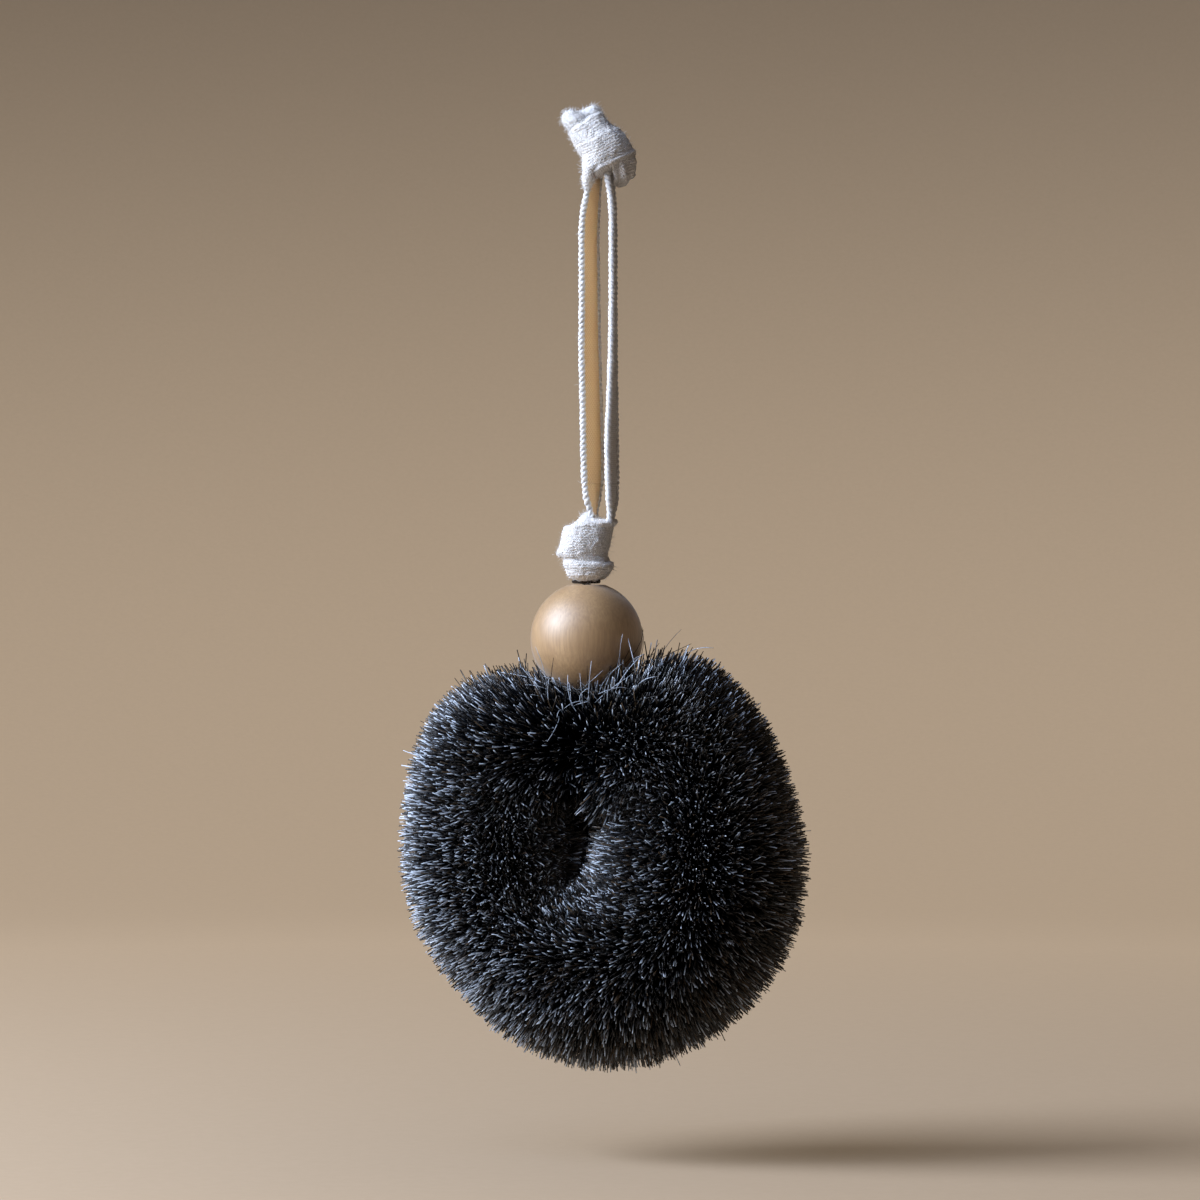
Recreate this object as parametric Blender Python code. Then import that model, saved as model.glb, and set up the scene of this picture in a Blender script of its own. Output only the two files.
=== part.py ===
"""A ring-shaped bristle brush that hangs on a knotted cotton tape, with a turned wooden bead between.

Metres, +Z up. The origin is the inside top of the tape's loop, where a hook bears. The ring of
bristles lies in the XZ plane, and the tape's width lies along Y.
"""

import math

import bmesh
import bpy
from mathutils import Vector

for old in list(bpy.data.objects):
    bpy.data.objects.remove(old)

# Between the meshes of pieces that touch.
TOUCH_GAP = 0.0003

# The cotton tape, with a thicker woven cord along each edge.
TAPE_WIDTH = 0.010
TAPE_THICKNESS = 0.0009
SELVEDGE_WIDTH = 0.0018
SELVEDGE_THICKNESS = 0.0015
CUT_END_LENGTH = 0.0029
CUT_END_LEAN = 0.0012

# The loop: two runs of tape side by side, closed by a knot at each end.
LOOP_SPACING = 0.0067
LOOP_SPREAD_LENGTH = 0.0070
LOOP_RUN_LENGTH = 0.0785
BEND_LENGTH = 0.0078
BEND_SPACING = 0.0030

# The knots.
UPPER_KNOT_WIDTH = 0.0206
UPPER_KNOT_DEPTH = 0.0170
UPPER_KNOT_HEIGHT = 0.0185
LOWER_KNOT_WIDTH = 0.0174
LOWER_KNOT_DEPTH = 0.0150
LOWER_KNOT_HEIGHT = 0.0175

# The bead, a ball cut flat at both ends of its bore.
BEAD_DIAMETER = 0.030
BEAD_FLAT_DIAMETER = 0.0099
BEAD_BORE = 0.0060
BEAD_CHAMFER = 0.0004
BEAD_SIDE = -0.0046
KNOT_TO_BEAD = 0.0010

# The steel wire, its two ends twisted together into the stem that carries the bead.
WIRE_DIAMETER = 0.0012
STEM_HELIX_RADIUS = 0.00086
STEM_PITCH = 0.0092
EYE_RADIUS = 0.0030
EYE_NECK_LENGTH = 0.0016
EYE_SWEEP = math.radians(300)
CURL_RADIUS = 0.0034
CURL_SWEEP = math.radians(330)
CURL_RISE_SHARE = 0.35

# The ring that the bristled core follows: round below, flat-topped above.
RING_SIDE = -0.0010
RING_RADIUS = 0.0270
RING_BELOW_BEAD = 0.0447
RING_ROUND_POWER = 2.0
RING_FLAT_POWER = 4.0
CORE_RADIUS = 0.0017

# The bristles, as strands that each stand for a bunch of fibres and fan out to the tip.
BRISTLE_REACH = 0.0302
BRISTLE_TRIM = 0.0006
STRAND_ROOT_WIDTH = 0.0009
STRAND_TIP_WIDTH = 0.0036
STRAND_INNER_TIP_WIDTH = 0.0006
STRAND_BEAD_CLEARANCE = 0.0018
STRAND_FOOT_SHARE = 0.2
SECTOR_COUNT = 14
STATIONS_PER_SECTOR = 4
STRANDS_PER_STATION = 8
CORE_TWIST_PER_STATION = math.radians(16.0)

# How near the ring's middle the inward strands of every 8th, 4th, 2nd and each other station come.
INNER_STOPS = {8: 0.0020, 4: 0.0036, 2: 0.0058, 1: 0.0090}

# How far the bristles stand off the core at angles about the ring's middle, from the right side
# towards the top, as shares of the longest. The brush is trimmed flatter at its upper shoulders,
# and it is crushed at the middle of its top and at the lower left.
REACH_SHARES = (
    (0, 1.00),
    (30, 0.91),
    (45, 0.91),
    (60, 0.95),
    (90, 0.87),
    (120, 0.94),
    (150, 0.94),
    (180, 0.92),
    (205, 0.88),
    (225, 0.85),
    (250, 0.91),
    (270, 0.97),
    (300, 0.99),
    (360, 1.00),
)

# Counts of facets and steps.
BEAD_STEPS = 40
BEAD_ARC_POINTS = 14
KNOT_SECTION_POINTS = 16
HELIX_POINTS_PER_TURN = 9
ROUND_POINTS = 14
EASE_POINTS = 6

# Edges that turn more than this are drawn sharp.
CLOTH_EDGE_ANGLE = math.radians(50)
CUT_EDGE_ANGLE = math.radians(30)

# Points nearer than this are one point.
MERGE_DISTANCE = 0.00001

# Sizes and places that follow from those above.
BEAD_HEIGHT = math.sqrt(BEAD_DIAMETER**2 - BEAD_FLAT_DIAMETER**2)
BEND_TOP = -LOOP_RUN_LENGTH - TOUCH_GAP
LOWER_KNOT_TOP = BEND_TOP - BEND_LENGTH - TOUCH_GAP
LOWER_KNOT_BOTTOM = LOWER_KNOT_TOP - LOWER_KNOT_HEIGHT
BEAD_TOP = LOWER_KNOT_BOTTOM - KNOT_TO_BEAD
BEAD_CENTRE = BEAD_TOP - BEAD_HEIGHT / 2
BEAD_BOTTOM = BEAD_TOP - BEAD_HEIGHT
RING_CENTRE = BEAD_BOTTOM - RING_BELOW_BEAD
EYE_BASE = BEAD_TOP + TOUCH_GAP
STEM_FOOT = RING_CENTRE + RING_RADIUS - CORE_RADIUS
STEM_REACH = STEM_HELIX_RADIUS + WIRE_DIAMETER / 2
STATION_COUNT = SECTOR_COUNT * STATIONS_PER_SECTOR

# The knots' outlines from top to bottom: height as a share of the knot's height, left and right
# reach as shares of its width, and half depth as a share of its depth.
LOWER_KNOT_SHARES = (
    (0.00, -0.22, 0.40, 0.36),
    (0.09, -0.33, 0.50, 0.44),
    (0.26, -0.42, 0.42, 0.49),
    (0.42, -0.43, 0.35, 0.50),
    (0.57, -0.49, 0.35, 0.50),
    (0.65, -0.40, 0.34, 0.45),
    (0.73, -0.38, 0.41, 0.49),
    (0.90, -0.34, 0.37, 0.46),
    (1.00, -0.28, 0.24, 0.37),
)
UPPER_KNOT_SHARES = (
    (0.00, -0.56, 0.03, 0.26),
    (0.05, -0.55, 0.09, 0.34),
    (0.20, -0.46, 0.26, 0.43),
    (0.42, -0.36, 0.41, 0.49),
    (0.69, -0.29, 0.45, 0.50),
    (0.87, -0.28, 0.40, 0.45),
    (1.00, -0.26, 0.21, 0.33),
)
KNOT_SECTION_POWER = 2.5


def make_material(name, colour, roughness, metallic=0.0):
    """Returns a Principled material in one plain colour."""
    material = bpy.data.materials.new(name)
    material.use_nodes = True
    shader = material.node_tree.nodes["Principled BSDF"]
    shader.inputs["Base Color"].default_value = (*colour, 1.0)
    shader.inputs["Roughness"].default_value = roughness
    shader.inputs["Metallic"].default_value = metallic
    material.diffuse_color = (*colour, 1.0)
    return material


COTTON = make_material("cotton_tape", (0.78, 0.76, 0.74), 0.9)
WOOD = make_material("bead_wood", (0.58, 0.42, 0.27), 0.42)
FIBRE = make_material("bristle_fibre", (0.020, 0.021, 0.025), 0.38)
STEEL = make_material("dark_wire", (0.045, 0.042, 0.040), 0.45, metallic=0.8)


def add_object(name, data, material):
    """Links a mesh or curve to the scene as a named object in one material."""
    data.materials.append(material)
    made = bpy.data.objects.new(name, data)
    bpy.context.scene.collection.objects.link(made)
    return made


def mesh_from(bm, name):
    """Turns a finished bmesh into a mesh with its faces pointing out."""
    bmesh.ops.recalc_face_normals(bm, faces=bm.faces)
    mesh = bpy.data.meshes.new(name)
    bm.to_mesh(mesh)
    bm.free()
    return mesh


def loft(name, rings, material, smooth_angle):
    """Skins a row of rings that have the same number of points, and closes both ends."""
    bm = bmesh.new()
    rows = [[bm.verts.new(point) for point in ring] for ring in rings]
    count = len(rows[0])
    for upper, lower in zip(rows, rows[1:]):
        for i in range(count):
            after = (i + 1) % count
            bm.faces.new((upper[i], upper[after], lower[after], lower[i]))
    bm.faces.new(rows[0])
    bm.faces.new(rows[-1])
    mesh = mesh_from(bm, name)
    mesh.shade_smooth()
    mesh.set_sharp_from_angle(angle=smooth_angle)
    return add_object(name, mesh, material)


def ease(share):
    """Runs from 0 to 1 with a level start and end."""
    return share * share * (3 - 2 * share)


def tape_section(centre, across):
    """Returns one cross-section of the tape, flat in Y, whose thickness lies along across."""
    edge = TAPE_WIDTH / 2
    half = [
        (-edge, SELVEDGE_THICKNESS / 4),
        (-edge + SELVEDGE_WIDTH / 2, SELVEDGE_THICKNESS / 2),
        (-edge + SELVEDGE_WIDTH, TAPE_THICKNESS / 2),
        (edge - SELVEDGE_WIDTH, TAPE_THICKNESS / 2),
        (edge - SELVEDGE_WIDTH / 2, SELVEDGE_THICKNESS / 2),
        (edge, SELVEDGE_THICKNESS / 4),
    ]
    outline = half + [(y, -thick) for y, thick in reversed(half)]
    return [centre + across * thick + Vector((0, y, 0)) for y, thick in outline]


def make_tape_run(name, route):
    """Sweeps the tape along a route of (x, z) places that runs downwards, both ends cut level."""
    rings = []
    for i, (x, z) in enumerate(route):
        before = Vector(route[max(i - 1, 0)])
        after = Vector(route[min(i + 1, len(route) - 1)])
        along = (after - before).normalized()
        across = Vector((-along.y, 0, along.x))
        if i in (0, len(route) - 1):
            across = Vector((1, 0, 0))
        rings.append(tape_section(Vector((x, 0, z)), across))
    return loft(name, rings, COTTON, CLOTH_EDGE_ANGLE)


def make_loop():
    """Makes the two runs of tape under the upper knot, and the short bends over the lower knot."""
    top_spacing = SELVEDGE_THICKNESS + TOUCH_GAP
    for side_name, side in (("left", -1), ("right", 1)):
        spread = [
            (
                side * (top_spacing + (LOOP_SPACING - top_spacing) * ease(i / EASE_POINTS)) / 2,
                -TOUCH_GAP - LOOP_SPREAD_LENGTH * i / EASE_POINTS,
            )
            for i in range(EASE_POINTS + 1)
        ]
        run = spread + [(side * LOOP_SPACING / 2, -LOOP_RUN_LENGTH)]
        make_tape_run(f"tape_{side_name}", run)
        bend = [
            (
                side * (LOOP_SPACING + (BEND_SPACING - LOOP_SPACING) * ease(i / EASE_POINTS)) / 2,
                BEND_TOP - BEND_LENGTH * i / EASE_POINTS,
            )
            for i in range(EASE_POINTS + 1)
        ]
        make_tape_run(f"tape_bend_{side_name}", bend)


def make_knot(name, shares, axis_x, top, height, width, depth):
    """Lofts a knot from rounded sections whose left and right reach follow its outline."""
    rings = []
    for fall, left, right, half_depth in shares:
        middle = axis_x + width * (left + right) / 2
        reach = width * (right - left) / 2
        ring = []
        for i in range(KNOT_SECTION_POINTS):
            turn = 2 * math.pi * i / KNOT_SECTION_POINTS
            cos, sin = math.cos(turn), math.sin(turn)
            x = math.copysign(abs(cos) ** (2 / KNOT_SECTION_POWER), cos)
            y = math.copysign(abs(sin) ** (2 / KNOT_SECTION_POWER), sin)
            ring.append(Vector((middle + reach * x, depth * half_depth * y, top - height * fall)))
        rings.append(ring)
    return loft(name, rings, COTTON, CLOTH_EDGE_ANGLE)


def make_cut_ends(top, left_share, right_share):
    """Makes the tape's two cut ends, which stand one before the other on the upper knot."""
    middle = UPPER_KNOT_WIDTH * (left_share + right_share) / 2
    half_wide = TAPE_WIDTH / 2
    for place, side in (("front", -1), ("back", 1)):
        rings = []
        for z, lean in ((top + CUT_END_LENGTH, CUT_END_LEAN), (top + TOUCH_GAP, 0)):
            y = side * (TAPE_THICKNESS + TOUCH_GAP) / 2
            near, far = y - TAPE_THICKNESS / 2, y + TAPE_THICKNESS / 2
            left, right = middle - lean - half_wide, middle - lean + half_wide
            corners = ((left, near), (right, near), (right, far), (left, far))
            rings.append([Vector((x, y, z)) for x, y in corners])
        loft(f"tape_end_{place}", rings, COTTON, CUT_EDGE_ANGLE)


def make_bead():
    """Turns the bead's closed profile about its bore, which stands on the stem's line."""
    radius = BEAD_DIAMETER / 2
    bore = BEAD_BORE / 2
    half = BEAD_HEIGHT / 2
    steepest = math.asin(half / radius)
    profile = [(bore, half - BEAD_CHAMFER), (bore + BEAD_CHAMFER, half)]
    for i in range(BEAD_ARC_POINTS):
        rise = steepest * (1 - 2 * i / (BEAD_ARC_POINTS - 1))
        profile.append((radius * math.cos(rise), radius * math.sin(rise)))
    profile += [(bore + BEAD_CHAMFER, -half), (bore, -half + BEAD_CHAMFER)]
    count = len(profile)
    mesh = bpy.data.meshes.new("bead")
    mesh.from_pydata(
        [(x, 0, z) for x, z in profile],
        [(i, (i + 1) % count) for i in range(count)],
        [],
    )
    bead = add_object("bead", mesh, WOOD)
    bead.location = (BEAD_SIDE, 0, BEAD_CENTRE)
    turned = bead.modifiers.new("turned", "SCREW")
    turned.steps = turned.render_steps = BEAD_STEPS
    turned.use_merge_vertices = True
    turned.merge_threshold = MERGE_DISTANCE
    turned.use_smooth_shade = True
    return bead


def make_wire(name, points, radius):
    """Makes a round wire along a row of points, with both ends closed."""
    curve = bpy.data.curves.new(name, "CURVE")
    curve.dimensions = "3D"
    curve.bevel_depth = radius
    curve.bevel_resolution = 1
    curve.use_fill_caps = True
    spline = curve.splines.new("POLY")
    spline.points.add(len(points) - 1)
    for place, point in zip(spline.points, points):
        place.co = (*point, 1.0)
    return add_object(name, curve, STEEL)


def stem_turn(phase, z):
    """Returns a stem wire's turn at a height, where phase is its turn at the eye's foot."""
    return phase - 2 * math.pi * (EYE_BASE - z) / STEM_PITCH


def helix(phase, high):
    """Returns points that climb the stem's line in a helix from its foot to high."""
    turns = (high - STEM_FOOT) / STEM_PITCH
    count = math.ceil(turns * HELIX_POINTS_PER_TURN)
    points = []
    for i in range(count + 1):
        z = STEM_FOOT + (high - STEM_FOOT) * i / count
        turn = stem_turn(phase, z)
        x = BEAD_SIDE + STEM_HELIX_RADIUS * math.cos(turn)
        points.append(Vector((x, STEM_HELIX_RADIUS * math.sin(turn), z)))
    return points


def eye_route():
    """Climbs the stem and closes an eye in the YZ plane, inside the lower knot."""
    points = helix(-math.pi / 2, EYE_BASE)
    eye_middle = EYE_BASE + EYE_NECK_LENGTH + EYE_RADIUS
    start = -math.pi / 2
    for i in range(1, ROUND_POINTS + 1):
        turn = start - EYE_SWEEP * i / ROUND_POINTS
        y = EYE_RADIUS * math.cos(turn)
        z = eye_middle + EYE_RADIUS * math.sin(turn)
        points.append(Vector((BEAD_SIDE, y, z)))
    return points


def curl_route():
    """Climbs the stem beside the first wire and lies down in an open curl on the bead's top."""
    low = BEAD_TOP - WIRE_DIAMETER
    level = BEAD_TOP + TOUCH_GAP + WIRE_DIAMETER / 2
    points = helix(math.pi / 2, low)
    start = stem_turn(math.pi / 2, low)
    for i in range(1, ROUND_POINTS + 1):
        share = i / ROUND_POINTS
        spread = ease(min(1, share / CURL_RISE_SHARE))
        out = STEM_HELIX_RADIUS + (CURL_RADIUS - STEM_HELIX_RADIUS) * spread
        turn = start + CURL_SWEEP * share
        x = BEAD_SIDE + out * math.cos(turn)
        points.append(Vector((x, out * math.sin(turn), low + (level - low) * spread)))
    return points


def least_gap(first, second, diameter):
    """Returns the least clear distance between two wires, measured on their points."""
    return min((a - b).length for a in first for b in second) - diameter


def core_place(angle):
    """Returns the core's middle at an angle about the ring's middle, from +X towards +Z."""
    cos, sin = math.cos(angle), math.sin(angle)
    power = RING_FLAT_POWER if sin > 0 else RING_ROUND_POWER
    distance = RING_RADIUS / (abs(cos) ** power + abs(sin) ** power) ** (1 / power)
    return Vector((RING_SIDE + distance * cos, 0, RING_CENTRE + distance * sin))


def strand_reach(angle):
    """Returns how far the bristles stand off the core at an angle about the ring's middle."""
    degrees = math.degrees(angle) % 360
    for (before, near), (after, far) in zip(REACH_SHARES, REACH_SHARES[1:]):
        if degrees <= after:
            share = near + (far - near) * (degrees - before) / (after - before)
            return BRISTLE_REACH * share
    return BRISTLE_REACH


def inner_stop(station):
    """Returns how near the ring's middle this station's inward strands may come."""
    return next(stop for step, stop in INNER_STOPS.items() if station % step == 0)


def clear_of_bead(root, aim, reach):
    """Shortens a strand that would meet the bead, which is taken as a whole ball."""
    to_bead = Vector((BEAD_SIDE, 0, BEAD_CENTRE)) - root
    ball = BEAD_DIAMETER / 2 + STRAND_BEAD_CLEARANCE
    along = to_bead.dot(aim)
    aside = to_bead.length_squared - along * along
    if along < 0 or aside > ball * ball:
        return reach
    return min(reach, along - math.sqrt(ball * ball - aside))


def grow_strand(bm, face, tangent, station, angle, turn, serial):
    """Insets one face of the core to a square root, and extrudes it into a four-sided strand.

    A strand fans out evenly, so one that is stopped short is narrower at its tip. The fan gets
    narrower the more the strand points into the ring, where there is less room.
    """
    core = core_place(angle)
    outward = Vector((math.cos(angle), 0, math.sin(angle)))
    aim = outward * math.cos(turn) + Vector((0, math.sin(turn), 0))
    root = face.calc_center_median()
    trim = BRISTLE_TRIM * math.sin(serial * math.sqrt(5)) ** 2
    reach = strand_reach(angle) - trim - CORE_RADIUS
    inward = -math.cos(turn)
    full_width = STRAND_TIP_WIDTH
    if inward > 0:
        full_width += (STRAND_INNER_TIP_WIDTH - STRAND_TIP_WIDTH) * inward
        middle = Vector((RING_SIDE, 0, RING_CENTRE))
        room = (core - middle).length - inner_stop(station) - CORE_RADIUS * inward
        reach = min(reach, room / inward)
    reach = clear_of_bead(root, aim, reach)
    tip_width = STRAND_ROOT_WIDTH + (full_width - STRAND_ROOT_WIDTH) * reach / BRISTLE_REACH
    side = aim.cross(tangent).normalized()
    flat = side.cross(aim)
    bmesh.ops.inset_individual(bm, faces=[face], thickness=STRAND_ROOT_WIDTH * STRAND_FOOT_SHARE)

    def square(corners, centre, width):
        for corner in corners:
            offset = corner.co - root
            along = math.copysign(width / 2, offset.dot(flat))
            across = math.copysign(width / 2, offset.dot(side))
            corner.co = centre + flat * along + side * across

    square(face.verts, root, STRAND_ROOT_WIDTH)
    tip = bmesh.ops.extrude_discrete_faces(bm, faces=[face])["faces"][0]
    square(tip.verts, root + aim * reach, tip_width)


def make_bristle_sector(sector, first_angle, station_angle):
    """Makes one sector: a slice of the twisted core, with its strands grown from its faces."""
    name = f"bristle_{sector + 1:02d}"
    bm = bmesh.new()
    first_station = sector * STATIONS_PER_SECTOR
    seam = TOUCH_GAP / 2 / RING_RADIUS
    rings = []
    for i in range(STATIONS_PER_SECTOR + 1):
        station = first_station + i
        angle = first_angle + station * station_angle
        angle += seam if i == 0 else 0
        angle -= seam if i == STATIONS_PER_SECTOR else 0
        core = core_place(angle)
        tangent = (core_place(angle + seam) - core_place(angle - seam)).normalized()
        normal = Vector((tangent.z, 0, -tangent.x))
        ring = []
        for k in range(STRANDS_PER_STATION):
            turn = 2 * math.pi * k / STRANDS_PER_STATION + station * CORE_TWIST_PER_STATION
            spoke = normal * math.cos(turn) + Vector((0, math.sin(turn), 0))
            ring.append(bm.verts.new(core + spoke * CORE_RADIUS))
        rings.append(ring)
    bands = []
    for i, (lower, upper) in enumerate(zip(rings, rings[1:])):
        for k in range(STRANDS_PER_STATION):
            after = (k + 1) % STRANDS_PER_STATION
            face = bm.faces.new((lower[k], lower[after], upper[after], upper[k]))
            bands.append((i, k, face))
    bm.faces.new(rings[0])
    bm.faces.new(rings[-1])
    bmesh.ops.recalc_face_normals(bm, faces=bm.faces)
    for i, k, face in bands:
        station = first_station + i
        angle = first_angle + (station + 0.5) * station_angle
        twist = (station + 0.5) * CORE_TWIST_PER_STATION
        turn = 2 * math.pi * (k + 0.5) / STRANDS_PER_STATION + twist
        tangent = (core_place(angle + seam) - core_place(angle - seam)).normalized()
        serial = station * STRANDS_PER_STATION + k
        grow_strand(bm, face, tangent, station, angle, turn, serial)
    return add_object(name, mesh_from(bm, name), FIBRE)


def make_bristles():
    """Makes every sector, from the stem's left side round the ring to its right side."""
    stem_aside = BEAD_SIDE - RING_SIDE
    stem_angle = math.pi / 2 + math.atan2(-stem_aside, RING_RADIUS)
    half_break = math.atan2(STEM_REACH + TOUCH_GAP, RING_RADIUS)
    first_angle = stem_angle + half_break
    station_angle = (2 * math.pi - 2 * half_break) / STATION_COUNT
    for sector in range(SECTOR_COUNT):
        make_bristle_sector(sector, first_angle, station_angle)


def cut_clear_of_wire(knot, wire_name, route):
    """Cuts the knot clear of a wire that it is tied on or rests on."""
    name = f"{wire_name}_clearance"
    guide = make_wire(name, route, WIRE_DIAMETER / 2 + TOUCH_GAP)
    solid = bpy.data.meshes.new_from_object(guide)
    bpy.data.objects.remove(guide)
    cutter = add_object(name, solid, STEEL)
    cutter.hide_render = True
    cutter.display_type = "WIRE"
    cut = knot.modifiers.new(name, "BOOLEAN")
    cut.operation = "DIFFERENCE"
    cut.solver = "EXACT"
    cut.object = cutter


make_loop()
make_knot(
    "upper_knot",
    UPPER_KNOT_SHARES,
    0,
    UPPER_KNOT_HEIGHT,
    UPPER_KNOT_HEIGHT,
    UPPER_KNOT_WIDTH,
    UPPER_KNOT_DEPTH,
)
make_cut_ends(UPPER_KNOT_HEIGHT, UPPER_KNOT_SHARES[0][1], UPPER_KNOT_SHARES[0][2])
lower_knot = make_knot(
    "lower_knot",
    LOWER_KNOT_SHARES,
    BEAD_SIDE,
    LOWER_KNOT_TOP,
    LOWER_KNOT_HEIGHT,
    LOWER_KNOT_WIDTH,
    LOWER_KNOT_DEPTH,
)
make_bead()
eye_points = eye_route()
curl_points = curl_route()
for wire_name, route in (("eye_wire", eye_points), ("curl_wire", curl_points)):
    make_wire(wire_name, route, WIRE_DIAMETER / 2)
    cut_clear_of_wire(lower_knot, wire_name, route)
make_bristles()

wire_gap = least_gap(eye_points, curl_points, WIRE_DIAMETER)
print(f"least gap between the stem's two wires: {wire_gap:.5f} m")
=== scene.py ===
# %% [markdown]
# # A ring-shaped bath brush
#
# This brush has four real parts. Stiff dark fibres are gripped in a twisted steel wire and bent
# into a ring. A turned wooden bead sits on the wire's stem. One flat cotton tape hangs it all up,
# with a knot above the bead and another at the top of its loop. The lesson dresses a plain model
# of the brush, piece by piece, with the surface that each real part has.

import math
from functools import partial

import bpy
import numpy as np
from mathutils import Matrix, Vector, noise


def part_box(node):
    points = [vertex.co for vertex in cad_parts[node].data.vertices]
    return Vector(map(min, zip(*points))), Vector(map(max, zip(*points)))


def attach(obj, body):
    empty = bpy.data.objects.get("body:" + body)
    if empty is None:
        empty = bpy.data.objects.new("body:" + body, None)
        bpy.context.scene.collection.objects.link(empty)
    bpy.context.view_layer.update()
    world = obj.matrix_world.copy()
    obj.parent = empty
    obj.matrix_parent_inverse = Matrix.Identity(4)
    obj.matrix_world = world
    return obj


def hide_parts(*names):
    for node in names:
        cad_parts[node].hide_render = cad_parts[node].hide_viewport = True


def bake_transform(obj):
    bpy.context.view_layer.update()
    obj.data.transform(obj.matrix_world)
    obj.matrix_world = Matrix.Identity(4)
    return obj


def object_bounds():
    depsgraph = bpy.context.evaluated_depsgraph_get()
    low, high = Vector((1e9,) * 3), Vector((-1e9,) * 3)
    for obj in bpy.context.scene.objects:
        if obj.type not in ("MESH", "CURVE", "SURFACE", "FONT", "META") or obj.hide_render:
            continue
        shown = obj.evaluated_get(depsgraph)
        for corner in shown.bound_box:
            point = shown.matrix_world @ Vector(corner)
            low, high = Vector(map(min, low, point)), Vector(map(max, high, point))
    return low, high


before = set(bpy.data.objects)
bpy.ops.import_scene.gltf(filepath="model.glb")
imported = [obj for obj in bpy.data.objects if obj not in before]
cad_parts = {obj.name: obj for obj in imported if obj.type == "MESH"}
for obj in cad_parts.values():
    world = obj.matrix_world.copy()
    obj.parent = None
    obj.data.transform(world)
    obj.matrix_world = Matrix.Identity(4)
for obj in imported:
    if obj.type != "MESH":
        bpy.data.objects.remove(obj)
cad_low, cad_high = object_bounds()
print("box in mm:", [round(1000 * side) for side in cad_high - cad_low])

# %% [markdown]
# ## Where the eye is
#
# The photograph looks at the brush level, a little from its right, through a long lens. A long
# lens far away keeps the ring from bulging. One pixel of the 1200 pixel picture covers 0.265 mm
# at the tape, because the bead is a common 30 mm one and measures 113 pixels.

# %% Camera
PICTURE_SIZE = 1200
METRES_PER_PIXEL = 0.000265
CAMERA_AZIMUTH = math.radians(18)
CAMERA_DISTANCE = 1.25
SENSOR_WIDTH = 36.0
TAPE_LINE_PIXEL = 603
LOOP_TOP_PIXEL = 187

view_right = Vector((math.cos(CAMERA_AZIMUTH), math.sin(CAMERA_AZIMUTH), 0))
view_forward = Vector((-math.sin(CAMERA_AZIMUTH), math.cos(CAMERA_AZIMUTH), 0))
picture_width = PICTURE_SIZE * METRES_PER_PIXEL
aim = view_right * (PICTURE_SIZE / 2 - TAPE_LINE_PIXEL) * METRES_PER_PIXEL
aim.z = -(PICTURE_SIZE / 2 - LOOP_TOP_PIXEL) * METRES_PER_PIXEL

camera_data = bpy.data.cameras.new("camera")
camera_data.sensor_width = SENSOR_WIDTH
camera_data.lens = SENSOR_WIDTH * CAMERA_DISTANCE / picture_width
camera = bpy.data.objects.new("camera", camera_data)
camera.location = aim - view_forward * CAMERA_DISTANCE
camera.rotation_euler = (math.pi / 2, 0, CAMERA_AZIMUTH)
bpy.context.scene.collection.objects.link(camera)
bpy.context.scene.camera = camera
print("lens in mm:", round(camera_data.lens))

# %% [markdown]
# ## Colours and nodes
#
# Paints and cloths are named by the hex colours that a picture editor shows. Blender's shaders
# reckon in linear light, so one function turns a hex colour into linear numbers. Another adds a
# node with its settings and links, which keeps each material short enough to read.

# %% Helpers for colours and nodes
def srgb(hex_code):
    """Turns an sRGB hex colour into the linear RGBA that a shader takes."""
    parts = [int(hex_code[i : i + 2], 16) / 255 for i in (1, 3, 5)]
    linear = [p / 12.92 if p <= 0.04045 else ((p + 0.055) / 1.055) ** 2.4 for p in parts]
    return (*linear, 1.0)


def fill_inputs(node, inputs):
    """Sets or links each input that is named. A node stands for its first output in use."""
    for key, value in inputs.items():
        if isinstance(value, bpy.types.Node):
            value = next(output for output in value.outputs if output.enabled)
        if isinstance(value, bpy.types.NodeSocket):
            node.id_data.links.new(value, node.inputs[key])
        else:
            node.inputs[key].default_value = value


def add_node(tree, kind, inputs, **settings):
    """Adds one shader node with its settings, and fills its inputs."""
    made = tree.nodes.new("ShaderNode" + kind)
    for name, value in settings.items():
        setattr(made, name, value)
    fill_inputs(made, inputs)
    return made


def new_material(name):
    """Makes a plain Principled material. Returns it, its shader and what adds nodes to it."""
    material = bpy.data.materials.new(name)
    material.use_nodes = True
    tree = material.node_tree
    return material, tree.nodes["Principled BSDF"], partial(add_node, tree)


MIX_A, MIX_B = 6, 7
PER_MM = 1000.0
MERGE_DISTANCE = 0.00001

# %% [markdown]
# ## Light and backdrop
#
# The photograph has one big soft window at the upper left, so the right side of the bead goes dark
# brown. The window is an area lamp with a slightly cool colour. A weak, bluer lamp high in front
# stands for the sky, and lifts the shade between the fibres. The tan room adds a little warm light.
# The floor is a sheet of paper that curves up into the backdrop, so no horizon shows.

# %% Lamps and world
WINDOW_PLACE = (-0.91, 0.56, -0.27)
WINDOW_SIZE = 0.65
WINDOW_POWER = 24.5
SKY_PLACE = (-0.50, 0.95, -0.60)
SKY_SIZE = 0.70
SKY_POWER = 3.6
ROOM_STRENGTH = 0.04
ring_middle = Vector((0, 0, cad_low.z * 0.6))


def add_lamp(name, place, size, power, colour):
    """Adds a square lamp at (right, up, forward) from the ring, as the camera sees it."""
    lamp = bpy.data.lights.new(name, "AREA")
    lamp.size = size
    lamp.energy = power
    lamp.color = srgb(colour)[:3]
    holder = bpy.data.objects.new(name, lamp)
    right, up, forward = place
    offset = view_right * right + view_forward * forward + Vector((0, 0, up))
    holder.location = ring_middle + offset
    holder.rotation_euler = (ring_middle - holder.location).to_track_quat("-Z", "Y").to_euler()
    bpy.context.scene.collection.objects.link(holder)


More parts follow.
